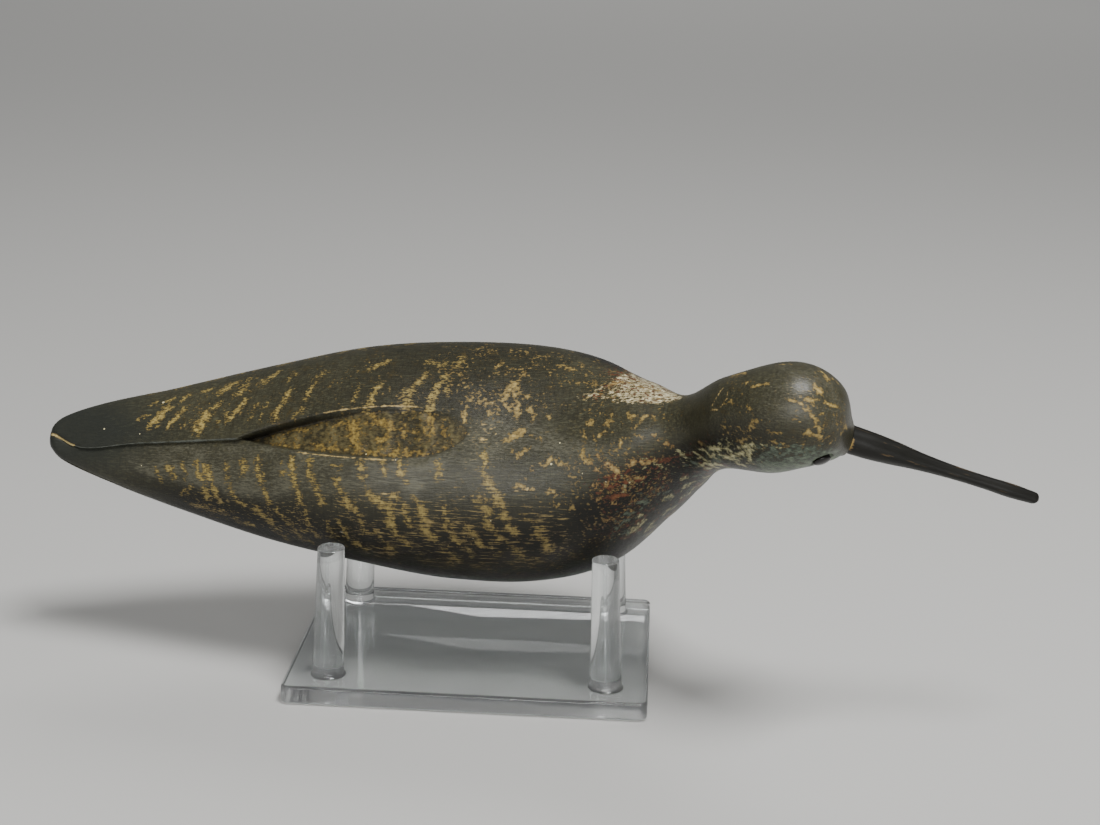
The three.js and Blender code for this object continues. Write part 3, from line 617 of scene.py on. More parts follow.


# Soft-edged patches of wear, and in the grey rub partly of painted sheen: where along the bird, as percent of
# its length or as stations, with from, to and softness, then from, to and softness in degrees from the back
# line (left is plus), and strength
patches = dict(
    flecks=[
        ("station", 8.9, 10.8, 0.3, -74, -18, 9, 0.14), ("station", 13.4, 15.8, 0.3, -64, 0, 10, 0.05),
        ("station", 7.2, 9.0, 0.3, 0, 56, 10, 0.06), ("station", 8.9, 9.8, 0.2, 14, 60, 5, 0.16),
        ("percent", 57, 68, 3, -34, 12, 6, -0.1), ("station", 12.6, 13.7, 0.2, -45, 45, 9, -0.09),
    ],
    scratches=[
        ("percent", 36, 70, 6, -85, -34, 10, 0.43), ("percent", 18, 36, 4, -84, -48, 8, 0.4),
        ("percent", 54, 61, 3, -26, 6, 10, 0.3), ("station", 13.2, 14.2, 0.4, -16, 14, 10, 0.34),
    ],
    umber=[("percent", 30, 66, 6, 2, 75, 12, 0.24), ("station", 9, 15.6, 0.5, -60, 60, 12, 0.2)],
    # the grey rub is partly a painted sheen, lighter where the light catches
    greyRubAndSheen=[("percent", 11, 33, 4, -52, -14, 8, 0.9), ("station", 12.7, 15.5, 0.4, -42, 50, 12, 0.7)],
)
# Edges as lines through points: the worn wedge on the far shoulder, degrees and then stations, and the top
# of the cheek, stations and then degrees
edges = dict(
    wedgeRear=([10, 15, 22, 37, 60, 100], [8.75, 8.95, 9.25, 9.46, 9.6, 9.7]),
    wedgeFront=([12, 16, 28, 34, 66, 100], [10.1, 10.6, 11.1, 11.15, 10.6, 10.3]),
    cheekTop=([11.6, 12.2, 13.0, 13.8, 14.6, 15.4, 15.9], [66, 56, 55, 58, 60, 68, 86]),
)


def patchSum(name, along, station, degrees):
    # each patch is its strength times a window along the bird and a window round it
    total = np.zeros(degrees.shape)
    for kind, low, high, soft, under, over, blur, strength in patches[name]:
        place = station if kind == "station" else along
        total += strength * window(place, low, high, soft) * window(degrees, under, over, blur)
    return total


def paintLayers(point, angle, station):
    along = point[..., 0] / percent
    degrees = (np.degrees(angle) + 180) % 360 - 180
    fromBack = abs(degrees)
    left = degrees > 0
    arc = np.radians(fromBack) * wing["flankRadius"]
    onWing = fade(-wingDistance(along, np.radians(degrees))[0], 0.2, 2.5)
    side = (point[..., 1] / percent - hollowMiddle(along)) * percent
    half = hollowHalf(along) * percent
    upper = np.cos(angle) > 0
    inHollow = upper * fade(half - abs(side), 0.3, 1.4) * (half > 0)
    coarse = softNoise(point * [0.7, 1, 1], 9.0, 21)
    middle = softNoise(point * [0.8, 1, 1], 4.5, 22)
    layers = {}

    # the wings' bars, and out of sight on the far wing the same in even rows, one pitch apart and leaning
    # forward down the wing, each rubbed by its own amount
    f = feathers
    row = np.floor((arc - f["rowStart"]) / f["rowHeight"])
    phase = (point[..., 0] - f["lean"] * arc - f["bend"] * arc ** 2) / f["pitch"] + f["stagger"] * row
    phase += f["jitter"] * (softNoise(point, 11.0, 23) - 0.5) * 2
    bar = 1 - abs(2 * (phase % 1) - 1)
    strokeNumber = (np.floor(phase) + f["rubStep"] * row).astype(int) % f["rubs"]
    rubbedAway = np.random.default_rng(24).random(f["rubs"])[strokeNumber]
    hidden = left * onWing * window(along, 12.5, 50, 3) * fade(degrees, 52, 66)
    evenBars = bar ** 1.6 * hidden * (0.62 - 0.24 * rubbedAway + 0.4 * (0.6 * coarse + 0.4 * middle))
    layers["bars"] = np.maximum(strokeField("bars", point), evenBars)

    # tan flecks over the back, neck and head, and the larger worn places
    flecks = 0.1 * window(along, 50, 101, 4) * (1 - fade(fromBack, 80, 120))
    flecks += 0.1 * window(along, 14, 60, 6) * left * (1 - 0.6 * fade(degrees, 34, 54))
    flecks += patchSum("flecks", along, station, degrees) - 0.05 * window(station, 10.9, 12.1, 0.3)
    flecks *= 0.45 + 0.9 * fade(middle, 0.4, 0.7)
    flecks = np.maximum(np.clip(flecks, 0, 1), strokeField("flecks", point))
    layers["flecks"] = flecks * (1 - inHollow) * (1 - fade(station, lastStation - 0.15, lastStation))

    # fine scratches along the grain, low on the near wing, ahead of the hollow and on the head
    scratches = patchSum("scratches", along, station, degrees)
    layers["scratches"] = np.clip(scratches, 0, 1) * (0.6 + 0.5 * coarse)

    # brown undercoat round the far wing's bars, over the neck and on the head
    umber = patchSum("umber", along, station, degrees) + 0.16 * window(along, 12, 34, 4) * left
    umber = np.maximum(umber, 0.4 * layers["bars"] * left)
    layers["umber"] = np.clip(umber, 0, 1) * (1 - inHollow)

    # grey where hands rubbed the paint thin, and partly a painted sheen where the light catches: along the
    # near side of the hollow, on the ridge ahead of it and on the crown
    grey = window(along, 13, 62, 5) * window(degrees - 14 * fade(along, 46, 56), -42, -15, 9)
    grey += window(along, 57, 76, 5) * window(degrees + (along - 63) * 1.5, -14, 0, 8)
    grey += patchSum("greyRubAndSheen", along, station, degrees)
    layers["greyRubAndSheen"] = np.clip(grey, 0, 1) * (1 - inHollow) * (0.35 + 0.5 * middle)

    # the far shoulder, worn down to white, cream and red: a wedge with its point back along the ridge
    wedgeRear = np.interp(degrees, *edges["wedgeRear"])
    wedgeFront = np.interp(degrees, *edges["wedgeFront"])
    patch = fade(station, wedgeRear - 0.1, wedgeRear + 0.18)
    patch *= 1 - fade(station, wedgeFront - 0.3, wedgeFront + 0.1)
    patch *= fade(degrees, 12, 18) * (1 - fade(degrees + 40 * (middle - 0.5), 80, 118))
    white = 0.3 + 0.2 * coarse + 0.14 * fade(station, 9.3, 10.3) + 0.16 * fade(degrees, 26, 44)
    layers["whitewash"] = patch * white
    # where the wear follows the grain: the near wing, and half of it in the wedge
    layers["combed"] = np.maximum(fade(-degrees, 14, 30) * (1 - fade(station, 8.6, 9.4)), 0.5 * patch)

    # breast: red earth and cream flecks in the dark, and the pale throat and cheeks
    red = window(station, 9.15, 10.6, 0.25) * window(fromBack, 31, 78, 8)
    darkRed = window(station, 10.3, 11.9, 0.3) * window(fromBack, 44, 74, 9)
    cream = window(station, 9.5, 12.6, 0.3) * window(fromBack - 12 * (station - 10.5), 38, 66, 9)
    green = window(station, 9.3, 12.2, 0.3) * window(fromBack, 62, 150, 9)
    throat = window(station, 9.4, 12.2, 0.3) * window(fromBack, 74, 128, 9)
    squeezed = point * [0.6, 1, 1]
    paleFlakes, redFlakes = (fade(softNoise(squeezed, 2.0, seed), 0.52, 0.74) for seed in (25, 26))
    redFlecks = 0.22 * red * (0.5 + middle) + 0.2 * darkRed + throat * (0.12 + 0.6 * redFlakes)
    redFlecks += 0.27 * patch * (0.4 + coarse) * (1 - 0.6 * fade(degrees, 28, 44))
    layers["redEarth"] = np.maximum(np.clip(redFlecks, 0, 1), strokeField("redEarth", point, 0.7))
    breastTan = red * (0.13 + 0.24 * fade(middle, 0.4, 0.7)) + 0.12 * throat
    layers["breastTan"] = np.maximum(breastTan, strokeField("breastTan", point, 0.7))
    cheekTop = np.interp(station, *edges["cheekTop"])
    cheek = window(station, 11.7, 15.8, 0.3) * fade(fromBack, cheekTop - 8, cheekTop + 10)
    smooth = fade(station, 12.4, 13.1)
    paleGreen = cheek * smooth * (0.42 + 0.28 * coarse + 0.3 * fade(fromBack, cheekTop + 14, cheekTop + 34))
    paleGreen += cheek * (1 - smooth) * 0.3 * middle + 0.5 * green * middle
    layers["paleGreen"] = np.maximum(np.clip(paleGreen, 0, 1), 1.15 * strokeField("paleGreen", point, 0.8))
    paleFlecks = 0.22 * cream * (0.4 + middle) + 0.12 * cheek * (1 - 0.8 * smooth)
    paleFlecks += throat * (0.06 + 0.6 * paleFlakes) + cheek * (1 - 0.6 * smooth) * 0.55 * paleFlakes
    layers["cream"] = np.maximum(np.clip(paleFlecks, 0, 1), strokeField("cream", point, 0.8))

    # the belly, out of sight: thin buff paint, rubbed and dirty
    layers["bellyBuff"] = fade(fromBack, 112, 140) * window(along, 8, 82, 8) * (0.62 + 0.4 * coarse)

    # the hollow: rough brown wood with ochre left in bands across it
    ridges = 1 - gougeCuts(point, side)
    frontFade = 1 - fade(along, 42, 50)
    layers["dust"] = inHollow * (0.56 + 0.4 * ridges) * (0.9 + 0.1 * frontFade)
    ochre = 0.39 * ridges + 0.12 * fade(-side / np.maximum(half, 1), 0.35, 0.8)
    ochre += 0.14 * (1 - window(along, 35, 46, 4))
    ochre = np.maximum(np.clip(ochre, 0, 1) * (0.75 + 0.25 * frontFade), strokeField("ochre", point))
    layers["ochre"] = inHollow * ochre * fade(along, 24, 31)

    # bare wood where an edge is rubbed, on the hollow's rim and the tail's tip, and a grey line on the lap,
    # laid over the step's wall as painted light that lifts its shadow
    rimNear = hump(side + half, -0.1, 0.36) * window(along, 34, 47.5, 2.5) * (0.75 + 0.3 * middle)
    rimFar = hump(side - half, 0.05, 0.3) * (0.8 + 0.3 * middle)
    rimFar *= 0.36 * window(along, 28, 50.5, 2) + 0.36 * window(along, 37, 50, 2)
    tip = hump(side, 0.2, 0.6) * window(along, 0.4, 4.0, 0.5)
    rubbed = np.clip(upper * (rimNear + rimFar + tip), 0, 1)
    layers["bareWood"] = np.maximum(rubbed, strokeField("bareWood", point))
    lapLineAndPaintedLight = hump(side, -0.05, 0.42) * window(along, 3, 26, 1)
    lapLineAndPaintedLight = np.maximum(lapLineAndPaintedLight, 0.8 * hump(side - half, 0.05, 0.35) * window(along, 50.5, 54.4, 0.6))
    layers["lapLineAndPaintedLight"] = upper * lapLineAndPaintedLight * (0.52 + 0.3 * middle)

    # painted shade, dark colour put where shade falls: on the hollow's upper wall and in its rear point, low
    # on both sides and on the breast
    wall = hump(side - half, -1.0, 0.8) * window(along, 25, 38, 4)
    rearPoint = (1 - fade(along, 27, 33)) * (half > 0.2) * inHollow
    layers["grime"] = np.clip(upper * (wall + 0.6 * rearPoint), 0, 1)
    low = 0.94 * fade(-degrees + 8 * fade(along, 48, 60), 32, 68) * window(along, 14, 90, 8)
    low += 0.5 * fade(degrees, 90, 120)
    # painted shade over the far side as well, between about 24 and 66 percent along
    farSide = (0.14 + 0.26 * fade(along, 34, 50)) * window(along, 24, 66, 6) * window(degrees, 3, 90, 8)
    breast = window(station, 8.6, 11.4, 0.4) * fade(fromBack - 16 * left, 27, 52)
    layers["soot"] = np.maximum(np.maximum(low, farSide), breast)
    layers["tail"] = 1 - fade(along + 0.12 * (fromBack - 40), 4, 18)
    return layers


print("carving the bird")
station = ringStations(bird["rings"])
angle = columnAngles(station)
station = np.broadcast_to(station[:, None], angle.shape)
carved, uncut = birdPoints(station, angle, fineCarving)
skin = headTurned(carved)
socket = Matrix.Rotation(-np.radians(bird["headTurn"]), 3, "Z") @ Vector(billAxis)
socketStep = np.array(socket) * (bird["socketDepth"] + bird["socketClearance"])
withSocket = np.concatenate([skin, skin[-1:] - socketStep])
wood = skinMesh("decoyBodyWood", laidDown(withSocket))
layers = paintLayers(uncut, angle, station)
for name, values in layers.items():
    addValues(wood, name, np.concatenate([values, values[-1:]]))
addValues(wood, "grainPlace", np.concatenate([uncut, uncut[-1:]]))
print("wood faces", len(wood.data.polygons))


# Paint on carved white cedar: thin old oil paint, rubbed, with the grain standing through

def paintedCedar():
    material, tree, shader = newMaterial("old oil paint on carved cedar")
    place = addNode(tree, "ShaderNodeAttribute", attribute_name="grainPlace").outputs["Vector"]
    shown = {name: addNode(tree, "ShaderNodeAttribute", attribute_name=name).outputs["Fac"]
             for name in layers}

    # size in mm across the grain, stretch along it, detail and roughness
    patterns = dict(
        grain=(0.45, 3.0, 3.0, 0.6),      # fibres, drawn as fine as still shows
        longGrain=(0.42, 14.0, 3.0, 0.7),  # scratches along the grain
        brushed=(4.0, 0.12, 2.0, 0.6),    # the brush, across the grain
        cloud=(14.0, 1.0, 4.0, 0.6),
        crumbs=(1.1, 1.0, 2.0, 0.6),
    )
    noise = {}
    for name, (size, stretch, detail, roughness) in patterns.items():
        squeezed = addNode(tree, "ShaderNodeMapping", {
            "Vector": place, "Scale": (1 / stretch, 1, 1)}).outputs[0]
        noise[name] = addNode(tree, "ShaderNodeTexNoise", {
            "Vector": squeezed, "Scale": 1 / size, "Detail": detail, "Roughness": roughness}).outputs[0]
    # on the near wing the wear follows the grain, elsewhere it is ragged
    worn = addNode(tree, "ShaderNodeMix", {
        0: shown["combed"], 2: noise["grain"], 3: noise["longGrain"]}).outputs[0]

    # ground coat: brown black, cooler and plainer at the tail, brushed on across the grain.
    # what drives each tint, from and to, the most it covers, colour
    colour = addNode(tree, "ShaderNodeMix", {
        0: noise["cloud"], 6: linearColour("#24231b"), 7: linearColour("#39372a")},
        data_type="RGBA").outputs[2]
    grounds = [
        (noise["longGrain"], 0.5, 0.72, 0.5, "#5a5a45"),
        (noise["brushed"], 0.5, 0.75, 0.45, "#13120d"),
        (noise["crumbs"], 0.55, 0.7, 0.3, "#4f482e"),
        (shown["tail"], 0.0, 1.0, 0.85, "#232522"),
        # painted shade: near black low on the sides, on the breast and over the far side
        (shown["soot"], 0.0, 1.0, 0.88, "#080807"),
    ]
    for driver, low, high, most, tint in grounds:
        cover = addNode(tree, "ShaderNodeMapRange", {
            "Value": driver, "From Min": low, "From Max": high, "To Max": most}).outputs[0]
        colour = addNode(tree, "ShaderNodeMix", {
            0: cover, 6: colour, 7: linearColour(tint)}, data_type="RGBA").outputs[2]

    # name, edge colour and full colour, how much the fibres and the blotches break it, the blotches'
    # size in mm, sharpness, the presence at which half of it shows, and the most it covers
    coats = [
        ("bellyBuff", "#2c2a1e", "#6f684e", 1.6, 1.2, 8.0, 2, 0.5, 0.85),
        # partly painted sheen: lighter grey where light catches the near side, the ridge and the crown
        ("greyRubAndSheen", "#3f3d33", "#6a6857", 1.6, 0.5, 7.0, 2, 0.48, 0.6),
        ("umber", "#332c1a", "#5a4d2b", 0.7, 1.7, 3.0, 4, 0.5, 0.8),
        ("dust", "#1f1b12", "#5a5236", 1.0, 1.7, 1.6, 3, 0.42, 1.0),
        ("ochre", "#4c3d1f", "#86733f", 1.2, 2.4, 1.0, 5, 0.48, 0.95),
        ("bars", "#4c4024", "#8f7e4a", 3.1, 1.9, 1.0, 6, 0.45, 1.0),
        ("flecks", "#524426", "#978350", 1.2, 2.3, 1.0, 6, 0.45, 1.0),
        ("scratches", "#6a5b3a", "#a5935f", 2.4, 0.7, 5.0, 10, 0.6, 0.9),
        ("whitewash", "#6a5a36", "#dcd7b8", 2.8, 1.2, 1.3, 7, 0.4, 1.0),
        ("redEarth", "#331a11", "#75452a", 1.0, 2.1, 1.0, 6, 0.45, 0.92),
        ("breastTan", "#5c4526", "#a28e5c", 1.0, 2.0, 1.1, 6, 0.46, 1.0),
        ("cream", "#5f5a3c", "#b9b389", 1.0, 2.0, 1.1, 6, 0.45, 1.0),
        ("paleGreen", "#2c322c", "#68735f", 1.4, 2.0, 1.4, 7, 0.46, 0.95),
        # painted light: a pale line over the lap step's wall, lifting its shadow
        ("lapLineAndPaintedLight", "#4b4e48", "#64675f", 0.6, 0.6, 3.0, 4, 0.5, 0.8),
        ("bareWood", "#7f6c43", "#bcac7c", 0.8, 1.0, 2.0, 6, 0.5, 1.0),
    ]
    for number, (name, edge, full, byGrain, byBlotch, size, sharp, halfShown, most) in enumerate(coats):
        blotch = addNode(tree, "ShaderNodeTexNoise", {
            "Vector": place, "W": 3.7 * number, "Scale": 1 / size, "Detail": 3.0},
            noise_dimensions="4D").outputs[0]
        bent = shown[name]
        for breaks, strength in ((worn, byGrain), (blotch, byBlotch)):
            bent = addNode(tree, "ShaderNodeMath", {
                0: breaks, 1: strength, 2: bent}, operation="MULTIPLY_ADD").outputs[0]
        middle = 0.5 * byGrain + 0.5 * byBlotch + halfShown
        cover = addNode(tree, "ShaderNodeMapRange", {
            "Value": bent, "From Min": middle - 0.5 / sharp, "From Max": middle + 0.5 / sharp,
            "To Max": most}).outputs[0]
        # nothing where the layer isn't, however strong the noise
        there = addNode(tree, "ShaderNodeMapRange", {
            "Value": shown[name], "From Min": 0.02, "From Max": 0.12}).outputs[0]
        cover = addNode(tree, "ShaderNodeMath", {0: cover, 1: there}, operation="MULTIPLY").outputs[0]
        # thin and brown at its edges, full colour further in
        inside = addNode(tree, "ShaderNodeMapRange", {
            "Value": bent, "From Min": middle, "From Max": middle + 0.75}).outputs[0]
        tint = addNode(tree, "ShaderNodeMix", {
            0: inside, 6: linearColour(edge), 7: linearColour(full)}, data_type="RGBA").outputs[2]
        colour = addNode(tree, "ShaderNodeMix", {
            0: cover, 6: colour, 7: tint}, data_type="RGBA").outputs[2]

    # a few pale pinpricks, up to 0.8 mm across, where the paint has flaked off: cells 5.5 mm apart, of which
    # about a quarter hold one
    cells = addNode(tree, "ShaderNodeTexVoronoi", {"Vector": place, "Scale": 1 / 5.5}).outputs
    chance = addNode(tree, "ShaderNodeTexWhiteNoise", {"Vector": cells["Position"]}).outputs["Value"]
    reach = addNode(tree, "ShaderNodeMapRange", {
        "Value": chance, "From Min": 0.72, "From Max": 1.0, "To Max": 0.075}).outputs[0]
    prick = addNode(tree, "ShaderNodeMath", {
        0: cells["Distance"], 1: reach}, operation="LESS_THAN").outputs[0]
    # what lies over all the paint, the most it covers, colour
    over = [
        (prick, 1.0, "#b3aa86"),
        # painted shade low on the body, on the breast and over the far side
        (shown["soot"], 0.3, "#080807"),
        # painted shade on the hollow's upper wall and in its rear point
        (shown["grime"], 0.85, "#0b0a08"),
    ]
    for driver, most, tint in over:
        cover = addNode(tree, "ShaderNodeMapRange", {"Value": driver, "To Max": most}).outputs[0]
        colour = addNode(tree, "ShaderNodeMix", {
            0: cover, 6: colour, 7: linearColour(tint)}, data_type="RGBA").outputs[2]
    tree.links.new(colour, shader.inputs["Base Color"])

    rough = addNode(tree, "ShaderNodeMapRange", {
        "Value": noise["grain"], "From Min": 0.3, "From Max": 0.7, "To Min": 0.28, "To Max": 0.45}).outputs[0]
    tree.links.new(rough, shader.inputs["Roughness"])
    shader.inputs["IOR"].default_value = 1.47  # dried oil paint
    shader.inputs["Specular IOR Level"].default_value = 0.27  # dulled by dirt and handling
    # fibres stand about 0.05 mm proud, and the paint's own skin a little less
    height = addNode(tree, "ShaderNodeMath", {
        0: noise["longGrain"], 1: 0.8, 2: noise["grain"]}, operation="MULTIPLY_ADD").outputs[0]
    bump = addNode(tree, "ShaderNodeBump", {
        "Strength": 0.6, "Distance": 0.12 * mm, "Height": height}).outputs[0]
    tree.links.new(bump, shader.inputs["Normal"])
    return material


settle(wood, "decoy_body", paintedCedar())


# Bill: a slim stained peg of hardwood, planed to a rounded square and rubbed smooth

def darkHardwood():
    material, tree, shader = newMaterial("dark stained hardwood")
    place = addNode(tree, "ShaderNodeAttribute", attribute_name="grainPlace").outputs["Vector"]
    fibres = addNode(tree, "ShaderNodeMapping", {"Vector": place, "Scale": (0.08, 1, 1)}).outputs[0]
    grain = addNode(tree, "ShaderNodeTexNoise", {
        "Vector": fibres, "Scale": 1 / 0.5, "Detail": 3.0}).outputs[0]  # fibres half a millimetre apart
    stain = addNode(tree, "ShaderNodeMix", {
        0: grain, 6: linearColour("#0b0b09"), 7: linearColour("#1b1a16")}, data_type="RGBA").outputs[2]
    rubbed = addNode(tree, "ShaderNodeAttribute", attribute_name="rubbed").outputs["Fac"]
    cover = addNode(tree, "ShaderNodeMath", {
        0: grain, 1: 1.2, 2: rubbed}, operation="MULTIPLY_ADD").outputs[0]
    cover = addNode(tree, "ShaderNodeMapRange", {
        "Value": cover, "From Min": 1.05, "From Max": 1.25}).outputs[0]
    bare = addNode(tree, "ShaderNodeMapRange", {
        "Value": rubbed, "From Min": 0.45, "From Max": 0.9}).outputs[0]
    bareTint = addNode(tree, "ShaderNodeMix", {
        0: bare, 6: linearColour("#5d4a2e"), 7: linearColour("#86713f")}, data_type="RGBA").outputs[2]
    colour = addNode(tree, "ShaderNodeMix", {
        0: cover, 6: stain, 7: bareTint}, data_type="RGBA").outputs[2]
    tree.links.new(colour, shader.inputs["Base Color"])
    shader.inputs["Roughness"].default_value = 0.42
    shader.inputs["Specular IOR Level"].default_value = 0.22
    bump = addNode(tree, "ShaderNodeBump", {
        "Strength": 0.5, "Distance": 0.06 * mm, "Height": grain}).outputs[0]
    tree.links.new(bump, shader.inputs["Normal"])
    return material


print("planing the bill")
taper = np.stack([np.arange(len(bill["taper"])), bill["taper"]], -1)
tipDiameter = bill["rootDiameter"] * bill["taper"][-1]
share = np.linspace(0, 1, bill["steps"])
alongBill = share * (bill["length"] - tipDiameter / 2)
widths = bill["rootDiameter"] * smoothCurve(taper, share * (len(taper) - 1))[:, 1]
square = 2 + (bill["squareness"] - 2) * fade(share, 0, bill["squareFrom"])
roundTip = np.radians(np.linspace(8, 86, bill["tipRings"]))
alongBill = np.concatenate([[-bird["socketDepth"]], alongBill,
                            bill["length"] - tipDiameter / 2 * (1 - np.sin(roundTip))])
widths = np.concatenate([[bill["rootDiameter"]], widths, tipDiameter * np.cos(roundTip)])
square = np.concatenate([[2], square, np.full(bill["tipRings"], bill["squareness"])])[:, None]
turnRound = np.linspace(0, 2 * np.pi, bill["sides"], endpoint=False)[None]
# a rounded square: the sum of the sine's and cosine's powers, to minus one over that power
reach = (abs(np.cos(turnRound)) ** square + abs(np.sin(turnRound)) ** square) ** (-1 / square)
reach = reach * widths[:, None] / 2


def billPoints(reach):
    # rings about the bill's own X axis, at the given distance from it
    return np.stack(np.broadcast_arrays(alongBill[:, None], np.sin(turnRound) * reach,
                                        np.cos(turnRound) * reach), -1)


calm = fade(alongBill, 1, 6)[:, None]
worn = softNoise(billPoints(reach) * [0.3, 1, 1], bill["wornSize"], 31) - 0.5
own = billPoints(reach + bill["worn"] * calm * worn)
billRoot = headTurned(np.array([100 * percent, 0, bill["rootHeight"] * percent]))
billPose = turnMatrix(0, bill["droop"], -bird["headTurn"] - bill["swing"])
billWood = skinMesh("billWood", laidDown(own @ billPose.T + billRoot))
addValues(billWood, "grainPlace", own)
corner = 1 - abs(np.cos(2 * turnRound)) * np.ones_like(reach)
# rubbed along its corners, and bare on top where it meets the head
bareRoot = fade(1.5 - alongBill, 0, 1.0)[:, None] * fade(np.cos(turnRound + 0.75), 0.75, 0.98)
addValues(billWood, "rubbed", 0.2 + 0.14 * corner + 0.55 * bareRoot)
settle(billWood, "bill", darkHardwood())


# Eyes: glass-headed tacks, black and glossy

def blackGlassBead():
    material, tree, shader = newMaterial("black glass bead")
    place = addNode(tree, "ShaderNodeTexCoord").outputs["Object"]
    haze = addNode(tree, "ShaderNodeTexNoise", {"Vector": place, "Scale": 900.0, "Detail": 2.0}).outputs[0]
    colour = addNode(tree, "ShaderNodeMix", {
        0: haze, 6: linearColour("#0a0908"), 7: linearColour("#171411")}, data_type="RGBA").outputs[2]
    tree.links.new(colour, shader.inputs["Base Color"])
    rough = addNode(tree, "ShaderNodeMapRange", {
        "Value": haze, "From Min": 0.3, "From Max": 0.7, "To Min": 0.08, "To Max": 0.2}).outputs[0]
    tree.links.new(rough, shader.inputs["Roughness"])
    shader.inputs["IOR"].default_value = 1.5
    shader.inputs["Specular IOR Level"].default_value = 0.3  # dusty with age
    return material


def eyeDome(name, side):
    # a short straight seat and a dome whose height is a sine and radius a cosine of one angle
    rise = np.linspace(0, np.radians(88), eye["steps"])
    radius = eye["diameter"] / 2
    height = np.concatenate([[-eye["seat"], -eye["seat"] / 2], eye["rise"] * np.sin(rise)])
    across = np.concatenate([[radius, radius], radius * np.cos(rise)])
    around = -np.linspace(0, 2 * np.pi, eye["sides"], endpoint=False)[None]
    middle, outward = eyePlace(side)
    turn = np.array(Vector((0, 0, 1)).rotation_difference(Vector(outward)).to_matrix())
    own = np.stack(np.broadcast_arrays(across[:, None] * np.cos(around), across[:, None] * np.sin(around),
                                       height[:, None]), -1)
    return skinMesh(name, laidDown(own @ turn.T + middle))


print("setting the eyes")
beadGlass = blackGlassBead()
settle(eyeDome("eyeRightBead", -1), "eye_right", beadGlass)
settle(eyeDome("eyeLeftBead", 1), "eye_left", beadGlass)


# Stand: cast clear acrylic, flame polished

stand = dict(
    length=109.0, depth=80.0, thickness=5.6, cornerRadius=2.6, edgeRound=0.9,
    pegSpacingX=83.6, pegSpacingY=57.8, pegHeight=40.5, pegTop=8.0, pegFoot=9.6,
    fillet=0.9, topRound=0.3, lean=1.3, sides=72, sharpFrom=35.0,
)


def standPlate():
    # rings of the same rounded rectangle: each is the outline drawn in by the edge's round
    s = stand
    quarter = np.linspace(0, np.pi / 2, 9)
    corners = []
    for sx, sy, start in ((1, 1, 0), (-1, 1, 1), (-1, -1, 2), (1, -1, 3)):
        around = quarter + start * np.pi / 2
        corners.append(np.stack([sx * (s["length"] / 2 - s["cornerRadius"]) + 0 * around,
                                 sy * (s["depth"] / 2 - s["cornerRadius"]) + 0 * around,
                                 np.cos(around), np.sin(around)], -1))
    outline = np.concatenate(corners)
    bend = np.linspace(0, np.pi / 2, 6)
    drawIn = s["edgeRound"] * np.concatenate([[1.6], 1 - np.sin(bend), 1 - np.cos(bend), [1.6]])
    height = np.concatenate([[0], s["edgeRound"] * (1 - np.cos(bend)),
                             s["thickness"] - s["edgeRound"] * (1 - np.sin(bend)), [s["thickness"]]])
    radius = s["cornerRadius"] - drawIn[:, None]
    rings = np.stack(np.broadcast_arrays(outline[:, 0] + radius * outline[:, 2],
                                         outline[:, 1] + radius * outline[:, 3], height[:, None]), -1)
    return skinMesh("standAcrylic", rings * mm)


def standPeg(sx, sy):
    # a turned peg with a fillet at its foot and a rounded top, leaning in by its lean over its height
    s = stand
    bend = np.linspace(0, np.pi / 2, 8)
    foot, top = s["pegFoot"] / 2, s["pegTop"] / 2
    shaft = np.linspace(s["fillet"], s["pegHeight"] - s["topRound"], 12)[1:-1]
    height = np.concatenate([[-s["thickness"] / 2], 0.01 + s["fillet"] * (1 - np.cos(bend)), shaft,
                             s["pegHeight"] - s["topRound"] * (1 - np.sin(bend))])
    radius = foot + (top - foot) * np.clip(height / s["pegHeight"], 0, 1)
    radius[:len(bend) + 1] += s["fillet"] * np.concatenate([[1], 1 - np.sin(bend)])
    radius[-len(bend):] -= s["topRound"] * (1 - np.cos(bend))
    around = -np.linspace(0, 2 * np.pi, s["sides"], endpoint=False)[None]
    x = radius[:, None] * np.cos(around) - sx * s["lean"] * height[:, None] / s["pegHeight"]
    rings = np.stack(np.broadcast_arrays(x + sx * s["pegSpacingX"] / 2,
                                         radius[:, None] * np.sin(around) + sy * s["pegSpacingY"] / 2,
                                         height[:, None] + s["thickness"]), -1)
    return skinMesh("peg", rings * mm)


def clearAcrylic():
    material, tree, shader = newMaterial("clear cast acrylic")
    shader.inputs["Base Color"].default_value = linearColour("#fafdfd")
    shader.inputs["IOR"].default_value = 1.49
    shader.inputs["Transmission Weight"].default_value = 1.0
    shader.inputs["Alpha"].default_value = 0.86  # lets the light through to the floor, as the real block does
    # faint polishing haze and handling marks, a few millimetres across
    place = addNode(tree, "ShaderNodeTexCoord").outputs["Object"]
    haze = addNode(tree, "ShaderNodeTexNoise", {
        "Vector": place, "Scale": 180.0, "Detail": 3.0}).outputs[0]
    rough = addNode(tree, "ShaderNodeMapRange", {
        "Value": haze, "From Min": 0.5, "From Max": 0.75, "To Min": 0.0, "To Max": 0.03}).outputs[0]
    tree.links.new(rough, shader.inputs["Roughness"])
    return material


print("moulding the stand")
acrylic = standPlate()
for sx in (-1, 1):
    for sy in (-1, 1):
        peg = standPeg(sx, sy)
        join = acrylic.modifiers.new("join", "BOOLEAN")
        join.operation = "UNION"
        join.solver = "EXACT"
        join.object = peg
        depsgraph = bpy.context.evaluated_depsgraph_get()
        joined = bpy.data.meshes.new_from_object(acrylic.evaluated_get(depsgraph))
        acrylic.modifiers.clear()
        acrylic.data = joined
        bpy.data.objects.remove(peg)
acrylic.data.polygons.foreach_set("use_smooth", np.ones(len(acrylic.data.polygons), bool))
acrylic.data.set_sharp_from_angle(angle=np.radians(stand["sharpFrom"]))
settle(acrylic, "stand", clearAcrylic())
print("stand faces", len(acrylic.data.polygons))


# Floor, lights and camera

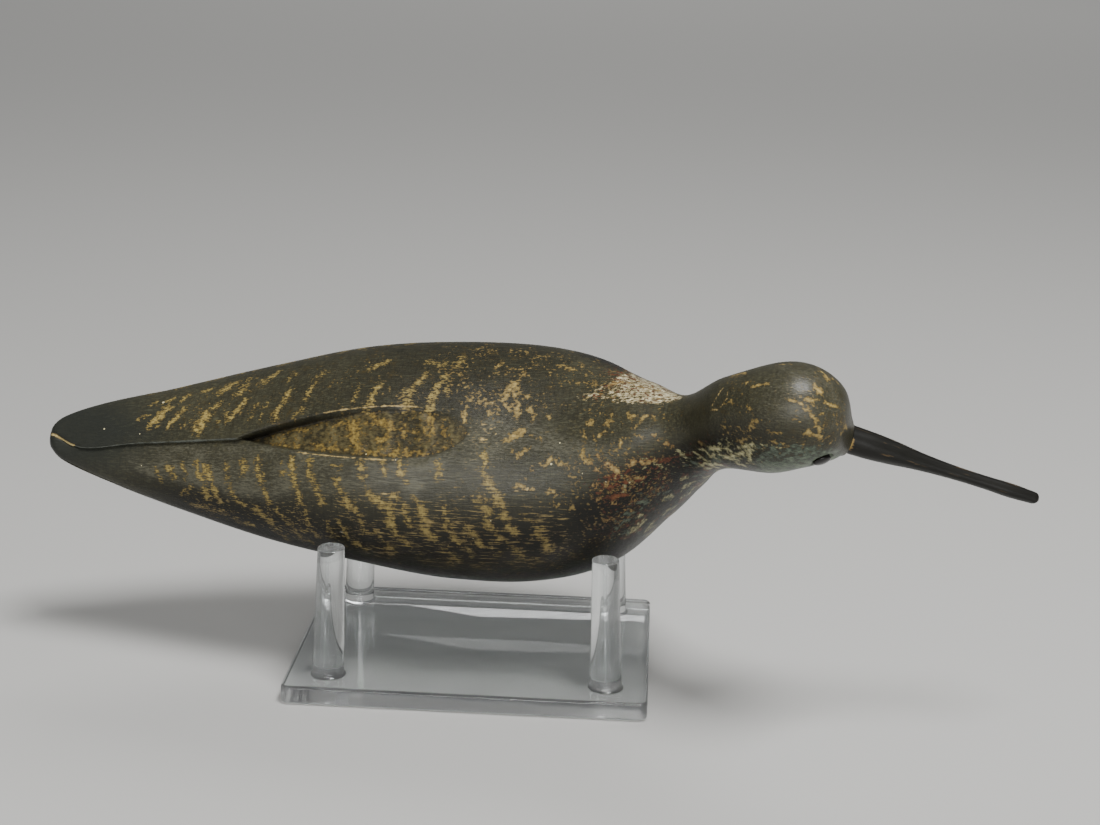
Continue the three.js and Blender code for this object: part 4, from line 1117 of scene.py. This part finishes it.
studio = dict(
    floorReach=6.0, floorDrop=0.3, skyColour="#eef1f4", skyStrength=0.16,
    lamps=[  # name, place, aimed at, width and height, watts
        ("overhead", (0.3, -0.32, 1.15), (0.0, 0.0, 0.06), (0.4, 0.4), 22.0),
        ("front", (0.15, -1.5, 0.42), (0.0, 0.0, 0.05), (1.5, 0.3), 20.0),
        ("far back", (0.3, 3.4, 3.6), (0.0, 2.6, 0.0), (3.0, 2.0), 120.0),
    ],
)


def paleBoard():
    material, tree, shader = newMaterial("pale matt board")
    shader.inputs["Base Color"].default_value = linearColour("#a9a8a5")
    shader.inputs["Roughness"].default_value = 0.8
    return material


print("floor, lights and camera")
floorMesh = bpy.data.meshes.new("floor")
floorCorners = [(x * studio["floorReach"], y * studio["floorReach"], -studio["floorDrop"] * mm)
                for x, y in ((-1, -1), (1, -1), (1, 1), (-1, 1))]
floorMesh.from_pydata(floorCorners, [], [(0, 1, 2, 3)])
floor = bpy.data.objects.new("floor", floorMesh)
bpy.context.scene.collection.objects.link(floor)
floorMesh.materials.append(paleBoard())

for name, place, aim, size, watts in studio["lamps"]:
    data = bpy.data.lights.new(name, "AREA")
    data.shape = "RECTANGLE"
    data.size, data.size_y = size
    data.energy = watts
    lamp = bpy.data.objects.new(name, data)
    bpy.context.scene.collection.objects.link(lamp)
    lamp.location = place
    lamp.visible_glossy = name != "far back"  # it lights the floor and leaves no haze on the paint
    lamp.rotation_euler = (Vector(aim) - Vector(place)).to_track_quat("-Z", "Y").to_euler()

world = bpy.data.worlds.new("studio")
bpy.context.scene.world = world
world.use_nodes = True
sky = world.node_tree.nodes["Background"]
sky.inputs["Color"].default_value = linearColour(studio["skyColour"])
sky.inputs["Strength"].default_value = studio["skyStrength"]

data = bpy.data.cameras.new("camera")
data.sensor_width = view["sensorWidth"]
data.lens = view["focal"] * view["sensorWidth"] / view["frameWidth"]
data.clip_start = view["clipStart"]
camera = bpy.data.objects.new("camera", data)
bpy.context.scene.collection.objects.link(camera)
across, above, forward = (Vector(axis) for axis in viewAxes())
camera.matrix_world = Matrix.Translation(Vector(view["place"]) * mm) @ Matrix(
    (across, above, -forward)).transposed().to_4x4()
bpy.context.scene.camera = camera
